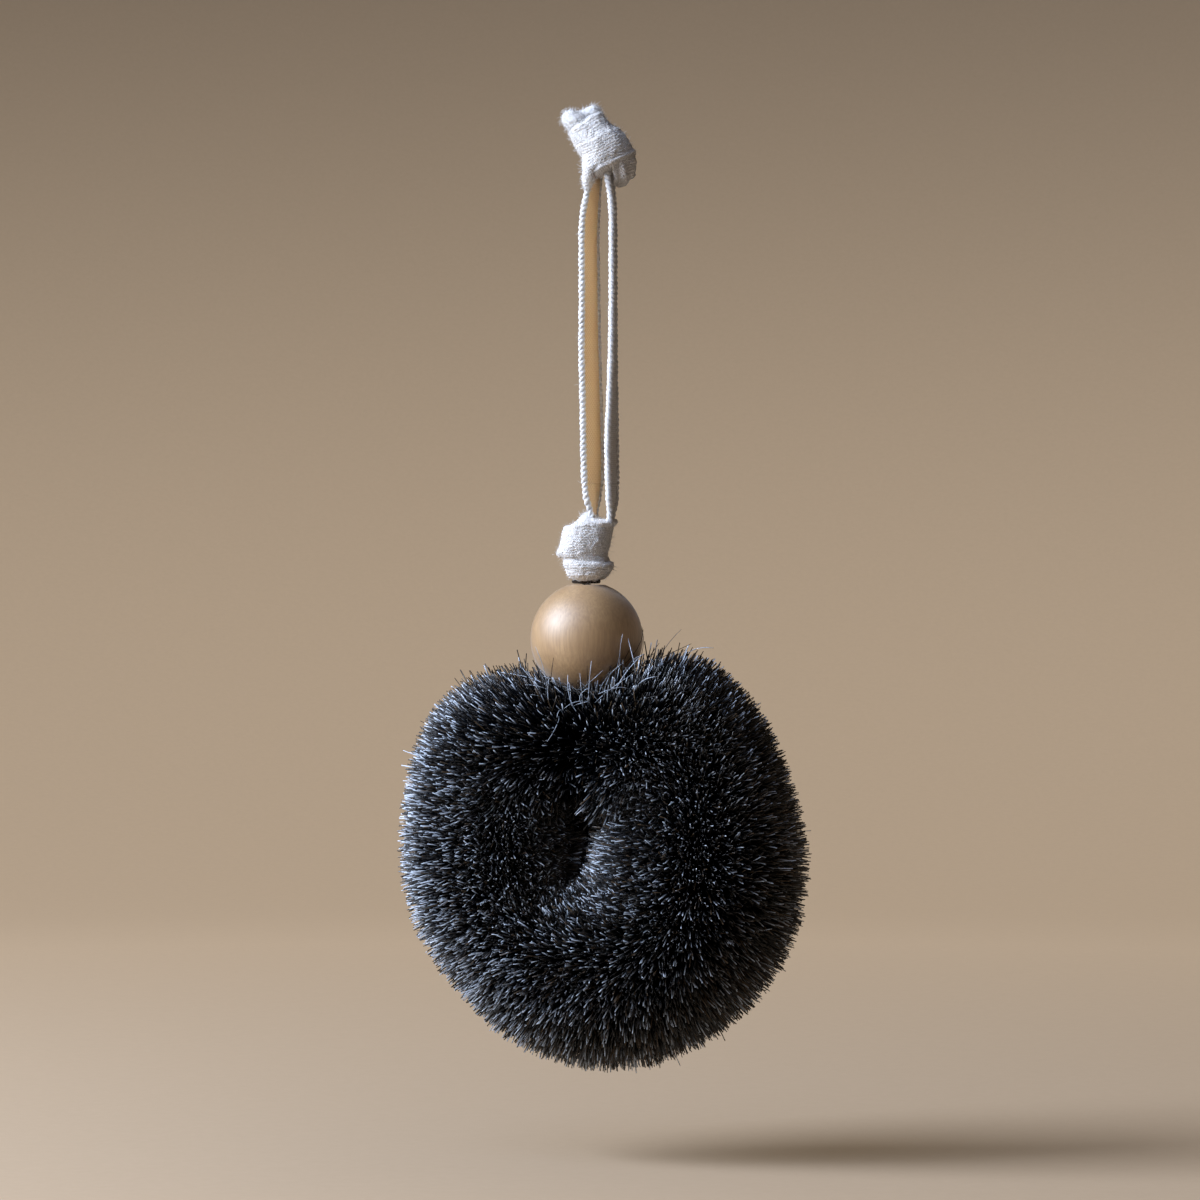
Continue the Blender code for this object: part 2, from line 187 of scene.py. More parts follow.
add_lamp("window", WINDOW_PLACE, WINDOW_SIZE, WINDOW_POWER, "#E0EBFF")
add_lamp("skylight", SKY_PLACE, SKY_SIZE, SKY_POWER, "#BBD3FF")

world = bpy.data.worlds.new("room")
bpy.context.scene.world = world
world.use_nodes = True
room_light = world.node_tree.nodes["Background"]
room_light.inputs["Color"].default_value = srgb("#D6A878")
room_light.inputs["Strength"].default_value = ROOM_STRENGTH
bpy.context.scene.view_settings.view_transform = "Standard"

# %% Paper floor and backdrop
FLOOR_BELOW = 0.024
PAPER_FLAT_RADIUS = 1.0
PAPER_BEND_RADIUS = 1.3
PAPER_TOP = 2.2
PAPER_GLOW_AWAY = (-0.50, 0.80)
PAPER_GLOW_RISE = (-0.20, 0.50)
PAPER_GLOW_AT_TOP = 0.26
PAPER_GLOW_STRENGTH = 0.77
PAPER_BEND_STEPS = 24
PAPER_TURN_STEPS = 96


def turn_profile(name, profile, steps, closed=False):
    """Turns a profile of (away, up) points round the upright axis, as a lathe does."""
    count = len(profile)
    edges = [(i, (i + 1) % count) for i in range(count if closed else count - 1)]
    mesh = bpy.data.meshes.new(name)
    mesh.from_pydata([(away, 0, up) for away, up in profile], edges, [])
    made = bpy.data.objects.new(name, mesh)
    bpy.context.scene.collection.objects.link(made)
    turned = made.modifiers.new("turn", "SCREW")
    turned.steps = turned.render_steps = steps
    turned.use_merge_vertices = True
    turned.merge_threshold = MERGE_DISTANCE
    turned.use_smooth_shade = True
    return made


def make_paper():
    """Turns a floor that curves up into a wall round the whole room."""
    floor = cad_low.z - FLOOR_BELOW
    profile = [(0.0, floor)]
    for i in range(PAPER_BEND_STEPS + 1):
        turn = math.pi / 2 * i / PAPER_BEND_STEPS
        away = PAPER_FLAT_RADIUS + PAPER_BEND_RADIUS * math.sin(turn)
        profile.append((away, floor + PAPER_BEND_RADIUS * (1 - math.cos(turn))))
    profile.append((PAPER_FLAT_RADIUS + PAPER_BEND_RADIUS, PAPER_TOP))
    return turn_profile("paper_floor", profile, PAPER_TURN_STEPS)


def make_paper_material():
    """Background paper: matt, tan, with the faint fibre flecks of an uncoated sheet.

    The far wall gets little of the lamps' light, so the paper adds a glow, strongest low on the
    wall. It shows to the camera, also in reflections, but it lights nothing on the brush.
    """
    material, shader, add = new_material("tan_background_paper")
    place = add("TexCoord", {}).outputs["Object"]
    flecks = add("TexNoise", {"Vector": place, "Scale": 350.0, "Detail": 3.0})
    tans = {0: flecks, MIX_A: srgb("#A9957D"), MIX_B: srgb("#AE9A82")}
    mixed = add("Mix", tans, data_type="RGBA")
    axes = add("SeparateXYZ", {0: place}).outputs
    on_floor = add("CombineXYZ", {"X": axes["X"], "Y": axes["Y"]})
    away = add("VectorMath", {0: on_floor}, operation="LENGTH")
    near, far = PAPER_GLOW_AWAY
    rising = add("MapRange", {"Value": away, "From Min": near, "From Max": far})
    falling = add(
        "MapRange",
        {
            "Value": axes["Z"],
            "From Min": PAPER_GLOW_RISE[0],
            "From Max": PAPER_GLOW_RISE[1],
            "To Min": 1.0,
            "To Max": PAPER_GLOW_AT_TOP,
        },
        interpolation_type="SMOOTHSTEP",
    )
    glow = add("Math", {0: rising, 1: falling}, operation="MULTIPLY")
    rays = add("LightPath", {}).outputs
    bounced = {0: rays["Is Glossy Ray"], 1: rays["Is Transmission Ray"]}
    mirrored = add("Math", bounced, operation="MAXIMUM")
    shows = add("Math", {0: rays["Is Camera Ray"], 1: mirrored}, operation="MAXIMUM")
    seen = add("Math", {0: glow, 1: shows}, operation="MULTIPLY")
    strength = add("Math", {0: seen, 1: PAPER_GLOW_STRENGTH}, operation="MULTIPLY")
    look = {
        "Base Color": mixed,
        "Emission Color": mixed,
        "Emission Strength": strength,
        "Roughness": 0.95,
        "Specular IOR Level": 0.2,
    }
    fill_inputs(shader, look)
    return material


paper = make_paper()
paper.data.materials.append(make_paper_material())

# %% [markdown]
# ## One way to make anything thin and long
#
# Fibres, cotton fuzz, wires and the cords along the tape's edges are all thin strands. Each could
# be a curve object, but tens of thousands of curves are slow. Instead one function takes the
# centre lines of many strands as an array and skins them all at once with a few sides each.

# %% Skin many strands at once
def add_piece(name, points, faces, material):
    """Makes a smooth mesh piece from lists of points and faces."""
    mesh = bpy.data.meshes.new(name)
    mesh.from_pydata(points, [], faces)
    mesh.materials.append(material)
    mesh.shade_smooth()
    piece = bpy.data.objects.new(name, mesh)
    bpy.context.scene.collection.objects.link(piece)
    return piece


def unit(vectors):
    """Scales each vector to length one."""
    return vectors / np.linalg.norm(vectors, axis=-1, keepdims=True)


def add_strands(name, lines, radii, sides, material, reference=None):
    """Skins strands. lines is (strands, steps, 3), and radii is one radius for each point.

    No strand may run along the reference, which sets how its sides are turned. Without one, each
    strand takes the axis that it follows least.
    """
    count, steps, _ = lines.shape
    along = unit(np.gradient(lines, axis=1))
    if reference is None:
        weakest = np.abs(along.mean(axis=1)).argmin(axis=1)
        reference = np.eye(3)[weakest][:, None, :]
    aside = unit(np.cross(along, reference))
    across = np.cross(aside, along)
    turns = 2 * np.pi * np.arange(sides) / sides
    ring = (
        aside[:, :, None, :] * np.cos(turns)[None, None, :, None]
        + across[:, :, None, :] * np.sin(turns)[None, None, :, None]
    )
    points = lines[:, :, None, :] + ring * radii[:, :, None, None]
    index = np.arange(count * steps * sides).reshape(count, steps, sides)
    after = np.roll(index, -1, axis=2)
    quads = np.stack([index[:, :-1], index[:, 1:], after[:, 1:], after[:, :-1]], axis=-1)
    roots = index[:, 0]
    tips = index[:, -1, ::-1]
    faces = quads.reshape(-1, 4).tolist() + roots.tolist() + tips.tolist()
    return add_piece(name, points.reshape(-1, 3).tolist(), faces, material)


def mark_points(piece, name, values):
    """Stores one number for each point of a piece, for its material to read."""
    marks = piece.data.attributes.new(name, "FLOAT", "POINT")
    marks.data.foreach_set("value", np.ascontiguousarray(values, np.float32).ravel())


def ease(share):
    """Runs from 0 to 1 with a level start and end."""
    share = np.clip(share, 0, 1)
    return share * share * (3 - 2 * share)


# %% [markdown]
# ## The bead: turned beech, oiled
#
# The bead was turned on a lathe from pale hardwood, sanded and oiled. Its grain runs along the
# bore, so it stands upright as fine streaks a few tenths of a millimetre wide and many times as
# long. A noise texture squeezed across the grain and stretched along it gives those streaks. Oil
# leaves a satin surface, so the window shows as a soft patch and not as a sharp one.

# %% Bead material
def make_wood():
    """Oiled beech: upright grain streaks, satin surface, faint pores and brushed relief."""
    material, shader, add = new_material("oiled_beech")
    place = add("TexCoord", {}).outputs["Object"]
    fine = (PER_MM / 0.55, PER_MM / 0.55, PER_MM / 9.0)
    grain_place = add("Mapping", {"Vector": place, "Scale": fine})
    grain_noise = {"Vector": grain_place, "Scale": 1.0, "Detail": 4.0, "Roughness": 0.6}
    grain = add("TexNoise", grain_noise)
    grain_share = add(
        "MapRange", {"Value": grain, "From Min": 0.35, "From Max": 0.70, "To Max": 0.6}
    )
    coarse = (PER_MM / 6, PER_MM / 6, PER_MM / 25)
    broad_place = add("Mapping", {"Vector": place, "Scale": coarse})
    broad = add("TexNoise", {"Vector": broad_place, "Scale": 1.0, "Detail": 2.0})
    broad_share = add("MapRange", {"Value": broad, "From Min": 0.3, "From Max": 0.7, "To Max": 0.6})
    woods = {0: broad_share, MIX_A: srgb("#BE9A6A"), MIX_B: srgb("#A58052")}
    pale = add("Mix", woods, data_type="RGBA")
    streaks = {0: grain_share, MIX_A: pale, MIX_B: srgb("#8F6A3F")}
    streaked = add("Mix", streaks, data_type="RGBA")
    pores = add("TexNoise", {"Vector": place, "Scale": PER_MM / 0.6, "Detail": 2.0})
    pored = add("Bump", {"Height": pores, "Strength": 0.22, "Distance": 0.0001})
    brushed = {"Height": grain, "Normal": pored, "Strength": 0.15, "Distance": 0.0001}
    relief = add("Bump", brushed)
    polish = add("MapRange", {"Value": grain, "To Min": 0.44, "To Max": 0.56})
    look = {
        "Base Color": streaked,
        "Normal": relief,
        "Roughness": polish,
        "IOR": 1.5,
        "Coat Weight": 1.0,
        "Coat Roughness": 0.55,
        "Coat IOR": 1.8,
        "Sheen Weight": 0.6,
        "Sheen Roughness": 0.35,
    }
    fill_inputs(shader, look)
    return material


# %% [markdown]
# The bead's shape is a ball cut flat at both ends of its bore. A lathe turns a profile round an
# axis, and so does the Screw modifier. The real bead's edges are eased by sanding, so the
# profile rounds the corner between ball and flat and the mouth of the bore.

# %% Bead
BEAD_BORE = 0.0060
BEAD_EASED_EDGE = 0.0008
BEAD_STEPS = 96
BEAD_ARC_POINTS = 30

bead_low, bead_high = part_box("bead")
bead_middle = (bead_low + bead_high) / 2
bead_half_height = (bead_high.z - bead_low.z) / 2
bead_radius = (bead_high.x - bead_low.x) / 2


def bead_profile():
    """Walks the bead's section from the top of the bore, over the ball, to the bore's foot."""
    bore = BEAD_BORE / 2
    eased = BEAD_EASED_EDGE
    steepest = math.asin((bead_half_height - eased / 2) / bead_radius)
    half = [(bore, bead_half_height - eased)]
    for angle in (math.pi / 6, math.pi / 3, math.pi / 2):
        away = bore + eased * (1 - math.cos(angle))
        half.append((away, bead_half_height - eased * (1 - math.sin(angle))))
    rises = [steepest * (1 - 2 * i / (BEAD_ARC_POINTS - 1)) for i in range(BEAD_ARC_POINTS)]
    arc = [(bead_radius * math.cos(rise), bead_radius * math.sin(rise)) for rise in rises]
    half.append((arc[0][0] - eased, bead_half_height))
    return half + arc + [(away, -up) for away, up in reversed(half)]


def make_bead(material):
    """Turns the profile into the bead, centred on its bore."""
    made = turn_profile("bead_turned", bead_profile(), BEAD_STEPS, closed=True)
    made.data.materials.append(material)
    made.location = bead_middle
    return made


bead = make_bead(make_wood())
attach(bead, "bead")
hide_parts("bead")
print("bead, mm across:", round(2000 * bead_radius, 1))

# %% [markdown]
# ## The wire: dark drawn steel
#
# Soft steel wire comes off the drawing die with faint lines along it and a dark oxide skin. The
# stem's wires keep their shapes from the model. Only a small curl of wire shows, between the knot
# and the bead, and it is dark enough to read as a line of shadow.

# %% Wire material
def make_steel():
    """Oxidised drawn steel: dark, satin, slightly mottled."""
    material, shader, add = new_material("oxidised_drawn_steel")
    place = add("TexCoord", {}).outputs["Object"]
    mottle = add("TexNoise", {"Vector": place, "Scale": PER_MM / 1.5, "Detail": 3.0})
    darks = {0: mottle, MIX_A: srgb("#2A2725"), MIX_B: srgb("#4A4440")}
    mixed = add("Mix", darks, data_type="RGBA")
    rough = add("MapRange", {"Value": mottle, "To Min": 0.35, "To Max": 0.60})
    fill_inputs(shader, {"Base Color": mixed, "Roughness": rough, "Metallic": 0.9})
    return material


steel = make_steel()
for wire_name in ("eye_wire", "curl_wire"):
    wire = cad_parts[wire_name]
    wire.data.materials.clear()
    wire.data.materials.append(steel)

# %% [markdown]
# ## Cotton tape
#
# The tape is woven from bleached cotton yarn, about 10 mm wide, with a thick two-ply cord along
# each edge. Its inner faces are tinted a warm tan, which is painted light: it stands for the light
# that shines through the thin cloth. Cotton scatters light in its fuzz, so it has no gloss to speak
# of and a soft sheen at grazing angles. Light also bleeds a millimetre or two into it. The weave's
# threads are drawn about a millimetre apart, coarser than the real ones, so that they show. Each
# point of the cloth carries its place along and across the tape in metres, and the material reads
# the weave from those two numbers, so that the pattern follows the cloth through bends and knots.

# %% Cotton materials
THREAD_ALONG = 0.0011
THREAD_ACROSS = 0.00085
COTTON_BLEED = (1.0, 0.95, 0.9)
COTTON_DEPTH = 0.0018


def make_cotton(name, light, dark, woven):
    """Cotton: fuzzy and matt, either as woven cloth or as loose yarn."""
    material, shader, add = new_material(name)
    place = add("TexCoord", {}).outputs["Object"]
    fuzz = add("TexNoise", {"Vector": place, "Scale": PER_MM / 0.25, "Detail": 3.0})
    height = fuzz
    if woven:
        waves = []
        for mark, spacing in (("tape_along", THREAD_ALONG), ("tape_across", THREAD_ACROSS)):
            metres = add("Attribute", {}, attribute_name=mark).outputs["Fac"]
            cycle = {0: metres, 1: 2 * math.pi / spacing}
            turns = add("Math", cycle, operation="MULTIPLY")
            waves.append(add("Math", {0: turns}, operation="SINE"))
        crossing = add("Math", {0: waves[0], 1: waves[1]}, operation="MULTIPLY")
        thread = add("MapRange", {"Value": crossing, "From Min": -0.9, "From Max": 0.5})
        height = add("Math", {0: thread, 1: fuzz}, operation="MULTIPLY")
    share = add("MapRange", {"Value": height, "From Min": 0.05, "From Max": 0.55})
    shades = {0: share, MIX_A: srgb(dark), MIX_B: srgb(light)}
    mixed = add("Mix", shades, data_type="RGBA")
    relief = add("Bump", {"Height": height, "Strength": 0.6, "Distance": 0.00015})
    look = {
        "Base Color": mixed,
        "Normal": relief,
        "Roughness": 0.95,
        "Specular IOR Level": 0.15,
        "Sheen Weight": 0.45,
        "Sheen Roughness": 0.5,
        "Subsurface Weight": 0.6,
        "Subsurface Radius": COTTON_BLEED,
        "Subsurface Scale": COTTON_DEPTH,
    }
    fill_inputs(shader, look)
    return material


bleached_weave = make_cotton("bleached_cotton_weave", "#F9F8F6", "#BEB7B0", woven=True)
# painted light: the warm tan stands for light that shines through the thin cloth onto its inner
# faces
painted_glow_weave = make_cotton("cotton_weave_painted_glow", "#F3DEBC", "#D8B687", woven=True)
bleached_yarn = make_cotton("bleached_cotton_yarn", "#FAF9F7", "#DDD8D1", woven=False)

# %% [markdown]
# ## The loop of tape
#
# The loop is two runs of the same tape, with their flat sides facing. They are turned a little to
# the eye, so their front edges lie wider apart than their back ones, and the left run shows its
# inner face, tinted a warm tan: painted light, for the light that shines through the cloth. A
# table for each run says where both edges lie, height by height. Each run is a thin woven web
# between two cords, and each cord is a pair of yarns twisted round each other.
# The last few millimetres over the lower knot are webs and cords of their own: the tape bends
# there when the brush swings, and the long runs above take up the twist.

# %% Tape sizes and route
TAPE_WIDTH = 0.010
PLY_RADIUS = 0.00050
PLY_OFFSET = 0.00044
TUCK_LENGTH = 0.0030
ROUTE_STEP = 0.00022
ROUTE_GRID = np.arange(-98.0, 12.0, 0.25)
ROUTE_SMOOTHING = 40
GATHER_LENGTH = 0.0045
GATHER_SHARE = 0.35

run_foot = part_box("tape_left")[0].z
bend_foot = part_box("tape_bend_left")[0].z
bend_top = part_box("tape_bend_left")[1].z
seam_height = (run_foot + bend_top) / 2

# Heights, and how far aside the front and back edges lie there, in millimetres.
left_run = (
    (4.0, 1.9, -0.8, -3.4, -7.4, -10, -14, -30, -43, -56, -70, -78, -83, -86, -88),
    (-1.3, -1.7, -2.4, -3.0, -3.9, -4.1, -4.2, -4.1, -4.3, -4.0, -3.8, -3.5, -2.8, -1.9, -1.3),
    (-2.0, -2.2, -2.3, -2.5, -2.6, -2.7, -2.8, -2.6, -2.3, -1.9, -1.5, -1.6, -2.5, -2.9, -2.9),
)
right_run = (
    (4.0, 2.4, -0.8, -3.4, -7.4, -14, -30, -43, -56, -67, -78, -83, -86, -88),
    (1.9, 2.3, 2.9, 3.3, 3.6, 3.6, 3.6, 3.4, 2.9, 2.3, 2.5, 2.7, 2.8, 2.7),
    (-0.1, 0.3, 0.8, 1.0, 1.1, 1.2, 1.2, 1.3, 1.5, 1.7, 1.8, 1.6, 1.2, 0.6),
)


def run_edge(heights, run, edge):
    """Reads one edge of a run off its table, as a smooth line."""
    line = np.interp(ROUTE_GRID, run[0][::-1], run[edge][::-1])
    for _ in range(ROUTE_SMOOTHING):
        line[1:-1] = (line[:-2] + 2 * line[1:-1] + line[2:]) / 4
    return np.interp(heights * PER_MM, ROUTE_GRID, line) / PER_MM


def run_frame(heights, side):
    """Returns a run's middle line, and the directions across the tape and off its outer face."""
    run = left_run if side < 0 else right_run
    front, back = (run_edge(heights, run, edge) for edge in (1, 2))
    line = np.stack([(front + back) / 2, 0 * front, heights], axis=1)
    across = unit(np.stack([back - front, 0 * front + TAPE_WIDTH, 0 * front], axis=1))
    outward = side * unit(np.cross(np.gradient(line, axis=0), across))
    gathered = 1 - GATHER_SHARE * ease((bend_foot + GATHER_LENGTH - heights) / GATHER_LENGTH)
    return line, (across * gathered[:, None])[:, None, :], outward[:, None, :]


# %% Web of one stretch of tape
WEB_COLUMNS = 30
WEB_THICKNESS = 0.0008
WEAVE_HEIGHT = 0.00007
CORD_OFF_WEB = 0.0004


def make_web(name, side, high, low):
    """Makes the woven web as a thin closed sheet, pale outside and tan inside.

    The tan is painted light, for the light that shines through the cloth.
    """
    rows = max(4, round((high - low) / ROUTE_STEP))
    heights = np.linspace(high, low, rows)
    line, across, outward = run_frame(heights, side)
    span = TAPE_WIDTH / 2 - PLY_RADIUS - PLY_OFFSET
    columns = np.linspace(-span, span, WEB_COLUMNS)
    length = heights[0] - heights
    ribs = np.cos(2 * np.pi * length[:, None] / THREAD_ALONG)
    ribs = ribs * np.cos(2 * np.pi * columns[None, :] / THREAD_ACROSS)
    thick = WEB_THICKNESS / 2 + WEAVE_HEIGHT * ribs
    cup = CORD_OFF_WEB * (columns / span) ** 2
    middle = line[:, None, :] + columns[None, :, None] * across
    middle = middle + outward * cup[None, :, None]
    outer = middle + outward * thick[:, :, None]
    inner = middle - outward * thick[:, :, None]
    size = rows * WEB_COLUMNS
    index = np.arange(size).reshape(rows, WEB_COLUMNS)
    faces = []
    for layer in (0, size):
        grid = index + layer
        quads = np.stack([grid[:-1, :-1], grid[1:, :-1], grid[1:, 1:], grid[:-1, 1:]], axis=-1)
        quads = quads.reshape(-1, 4)
        faces += (quads if (layer > 0) == (side > 0) else quads[:, ::-1]).tolist()
    border = np.concatenate([index[0], index[1:, -1], index[-1, -2::-1], index[-2:0:-1, 0]])
    after = np.roll(border, -1)
    rim = np.stack([border, after, after + size, border + size], axis=1)
    faces += (rim if side > 0 else rim[:, ::-1]).tolist()
    points = np.concatenate([outer.reshape(-1, 3), inner.reshape(-1, 3)])
    web = add_piece(name, points.tolist(), faces, bleached_weave)
    # the inner faces take the warm tan of painted light
    web.data.materials.append(painted_glow_weave)
    facing = np.zeros(len(faces), np.int32)
    half = (rows - 1) * (WEB_COLUMNS - 1)
    facing[half : 2 * half] = 1
    web.data.polygons.foreach_set("material_index", facing)
    mark_points(web, "tape_along", np.tile(np.repeat(length, WEB_COLUMNS), 2))
    mark_points(web, "tape_across", np.tile(columns, 2 * rows))
    return web


# %% Cords along the edges
CORD_PITCH = 0.0028
CORD_PLIES = 2
PLY_SIDES = 8
PLY_SWELL = 0.10
PLY_SWELL_SPACING = 0.0071


def make_edge_cords(name, side, high, low):
    """Twists the plies of a cord along each edge of one stretch of tape."""
    rows = max(6, round((high - low) / ROUTE_STEP))
    heights = np.linspace(high, low, rows)
    line, across, outward = (part.reshape(-1, 3) for part in run_frame(heights, side))
    lines = []
    for edge in (-1, 1):
        middle = line + outward * CORD_OFF_WEB + across * edge * (TAPE_WIDTH / 2 - PLY_RADIUS)
        for ply in range(CORD_PLIES):
            turn = (2 * np.pi * (heights / CORD_PITCH + ply / CORD_PLIES))[:, None]
            swing = outward * np.cos(turn) + across * edge * np.sin(turn)
            lines.append(middle + swing * PLY_OFFSET)
    lines = np.array(lines)
    radii = np.full(lines.shape[:2], PLY_RADIUS)
    radii *= 1 + PLY_SWELL * np.sin(lines[:, :, 2] * 2 * np.pi / PLY_SWELL_SPACING)
    return add_strands(name, lines, radii, PLY_SIDES, bleached_yarn)


# %% Place the stretches
TOP_TUCK = 0.0036
tuck_foot = bend_foot - TUCK_LENGTH

for side_name, side in (("left", -1), ("right", 1)):
    web = make_web(f"tape_web_{side_name}", side, TOP_TUCK, seam_height)
    cords = make_edge_cords(f"tape_cords_{side_name}", side, TOP_TUCK, seam_height)
    for piece in (web, cords):
        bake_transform(piece)
    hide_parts(f"tape_{side_name}")
    bend_web = make_web(f"bend_web_{side_name}", side, seam_height, tuck_foot)
    bend_cords = make_edge_cords(f"bend_cords_{side_name}", side, seam_height, tuck_foot)
    for piece in (bend_web, bend_cords):
        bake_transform(piece)
    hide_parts(f"tape_bend_{side_name}")
print("tape run, mm:", round(1000 * (TOP_TUCK - seam_height), 1))

# %% [markdown]
# ## The knots
#
# Each knot is several turns of the tape pulled tight. What shows is its outer wraps: bands with
# ribs of thread along them, one lapping over the next with a small step, and a rolled edge. A real
# knot could be modelled as one long strip in three dimensions, but nobody sees its inside. So each
# knot is a rounded body, with the wraps, ribs and steps raised out of its skin.

# %% Helper that raises relief on a rounded body
SECTION_SMOOTHING = 4


def turn_with_knots(points):
    """Turns points from the knots' own frame, which faces the camera, to the brush's."""
    cos, sin = math.cos(CAMERA_AZIMUTH), math.sin(CAMERA_AZIMUTH)
    x, y, z = points[..., 0], points[..., 1], points[..., 2]
    return np.stack([x * cos - y * sin, x * sin + y * cos, z], axis=-1)


def make_knot_body(name, base, lean, sections, relief, rows, columns, material):
    """Lofts a body along an axis that leans left, and raises its skin by relief(place, up).

    sections holds (up, left, right, half depth, squareness), with the lengths in millimetres.
    """
    up, left, right, deep, power = np.array(sections).T
    steps = np.linspace(up[0], up[-1], rows)
    left, right, deep, power = (np.interp(steps, up, side) for side in (left, right, deep, power))
    for _ in range(SECTION_SMOOTHING):
        for side in (left, right, deep):
            side[1:-1] = (side[:-2] + 2 * side[1:-1] + side[2:]) / 4
    around = 2 * np.pi * np.arange(columns) / columns
    cos, sin = np.cos(around), np.sin(around)
    square = 2 / power[:, None]
    across = (left + right)[:, None] / 2
    across = across + (right - left)[:, None] / 2 * np.sign(cos) * np.abs(cos) ** square
    depth = deep[:, None] * np.sign(sin) * np.abs(sin) ** square
    axis = np.array([-math.sin(lean), 0, math.cos(lean)])
    square_to = np.array([math.cos(lean), 0, math.sin(lean)])
    place = across[:, :, None] * square_to + steps[:, None, None] * axis
    place = (place + depth[:, :, None] * np.array([0, 1, 0])) / PER_MM
    along_ring = np.roll(place, -1, axis=1) - np.roll(place, 1, axis=1)
    normal = unit(np.cross(along_ring, np.gradient(place, axis=0)) + 1e-12)
    heights = np.broadcast_to(steps[:, None] / PER_MM, across.shape)
    place = place + normal * relief(place, heights)[:, :, None]
    points = turn_with_knots(place.reshape(-1, 3)) + np.array(base)
    index = np.arange(rows * columns).reshape(rows, columns)
    after = np.roll(index, -1, axis=1)
    quads = np.stack([index[:-1], after[:-1], after[1:], index[1:]], axis=-1).reshape(-1, 4)
    faces = quads.tolist() + [index[0, ::-1].tolist(), index[-1].tolist()]
    knot = add_piece(name, points.tolist(), faces, material)
    girth = np.hypot(right - left, deep).mean() / PER_MM
    mark_points(knot, "tape_along", np.broadcast_to(around * girth, across.shape))
    mark_points(knot, "tape_across", heights)
    return knot


def grain_of(place, size):
    """Returns smooth noise at each point, with features of about this size in metres."""
    values = [noise.noise(Vector(point)) for point in place.reshape(-1, 3) / size]
    return np.array(values).reshape(place.shape[:2])


# %% Upper knot's wraps
UPPER_LEAN = math.radians(27)
BAND_STEP = 0.00030
TOP_BAND_AT = 0.0176
MIDDLE_BAND_AT = 0.0122
LOW_BAND_AT = 0.0048
BAND_EDGE = 0.0004
BAND_WANDER = 0.0008
BAND_WANDER_SIZE = 0.0060
LOW_BAND_LEAN = 0.06
LOW_BAND_PIVOT = 0.002
RIB_SPACING = 0.00068
RIB_HEIGHT = 0.00016
RIB_WANDER = 0.0003
RIB_WANDER_SIZE = 0.0020
RIB_BREAK_SIZE = 0.0011
LUMP_HEIGHT = 0.00018
LUMP_SIZE = 0.0022
GRIT_HEIGHT = 0.00024
GRIT_SIZE = 0.0006

wrap_sections = (
    (2.9, -3.0, 8.4, 4.6, 2.2),
    (3.3, -3.9, 11.0, 6.4, 2.3),
    (4.5, -3.5, 11.7, 7.5, 2.4),
    (6.5, -2.8, 11.8, 8.1, 2.5),
    (9.5, -1.5, 11.6, 8.1, 2.5),
    (12.0, -1.8, 10.9, 7.5, 2.5),
    (13.6, -2.0, 9.6, 6.6, 2.5),
    (16.5, -1.8, 8.9, 5.4, 2.6),
    (18.0, -1.6, 8.7, 4.5, 2.6),
    (18.6, -1.1, 8.1, 3.6, 2.4),
)


def ridge(distance, middle, width):
    """Rises to 1 in the middle and falls away on both sides."""
    return np.exp(-(((distance - middle) / width) ** 2))


def band_edge(distance):
    """Rises over one band's edge, with a rolled lip just inside it."""
    lip = ridge(distance, 1.4 * BAND_EDGE, BAND_EDGE)
    return ease(distance / BAND_EDGE + 0.5) + 0.5 * lip


def cloth_skin(place, up):
    """Raises faint, broken rows of thread, soft lumps and the grit of the weave."""
    wandered = up + RIB_WANDER * grain_of(place, RIB_WANDER_SIZE)
    rows = np.cos(2 * np.pi * wandered / RIB_SPACING)
    height = RIB_HEIGHT * rows * np.clip(0.55 + 1.2 * grain_of(place, RIB_BREAK_SIZE), 0, 1.2)
    height += LUMP_HEIGHT * grain_of(place, LUMP_SIZE)
    return height + GRIT_HEIGHT * grain_of(place, GRIT_SIZE)


def wrap_relief(place, up):
    """Raises one wrap over the next, with the cloth's skin on them."""
    up = up + BAND_WANDER * grain_of(place, BAND_WANDER_SIZE)
    low_up = up - LOW_BAND_LEAN * (place[:, :, 0] - LOW_BAND_PIVOT)
    height = BAND_STEP * (band_edge(LOW_BAND_AT - low_up) - 2)
    height += BAND_STEP * 0.35 * band_edge(MIDDLE_BAND_AT - up)
    height += BAND_STEP * 1.2 * band_edge(TOP_BAND_AT - up)
    return height + cloth_skin(place, up)


upper_knot = make_knot_body(
    "upper_knot_cloth",
    (0, 0, 0),
    UPPER_LEAN,
    wrap_sections,
    wrap_relief,
    rows=150,
    columns=260,
    material=bleached_weave,
)
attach(upper_knot, "tape_loop")
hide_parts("upper_knot")

# %% [markdown]
# Under the wraps the tape comes out twice. At the right it makes a fold with creases down it, in
# the shade, and at the left a narrow lobe runs down to where the loop starts. The two cut ends
# stand up out of the top wrap, folded over into soft round stubs.

# %% Upper knot's fold, lobe and cut ends
CREASE_SPACING = 0.0027
CREASE_HEIGHT = 0.00035
CREASE_WANDER = 0.0012
CREASE_WANDER_SIZE = 0.005
FOLD_DEPTH = 0.0004
LOBE_DEPTH = -0.0036
END_DEPTH = 0.0010

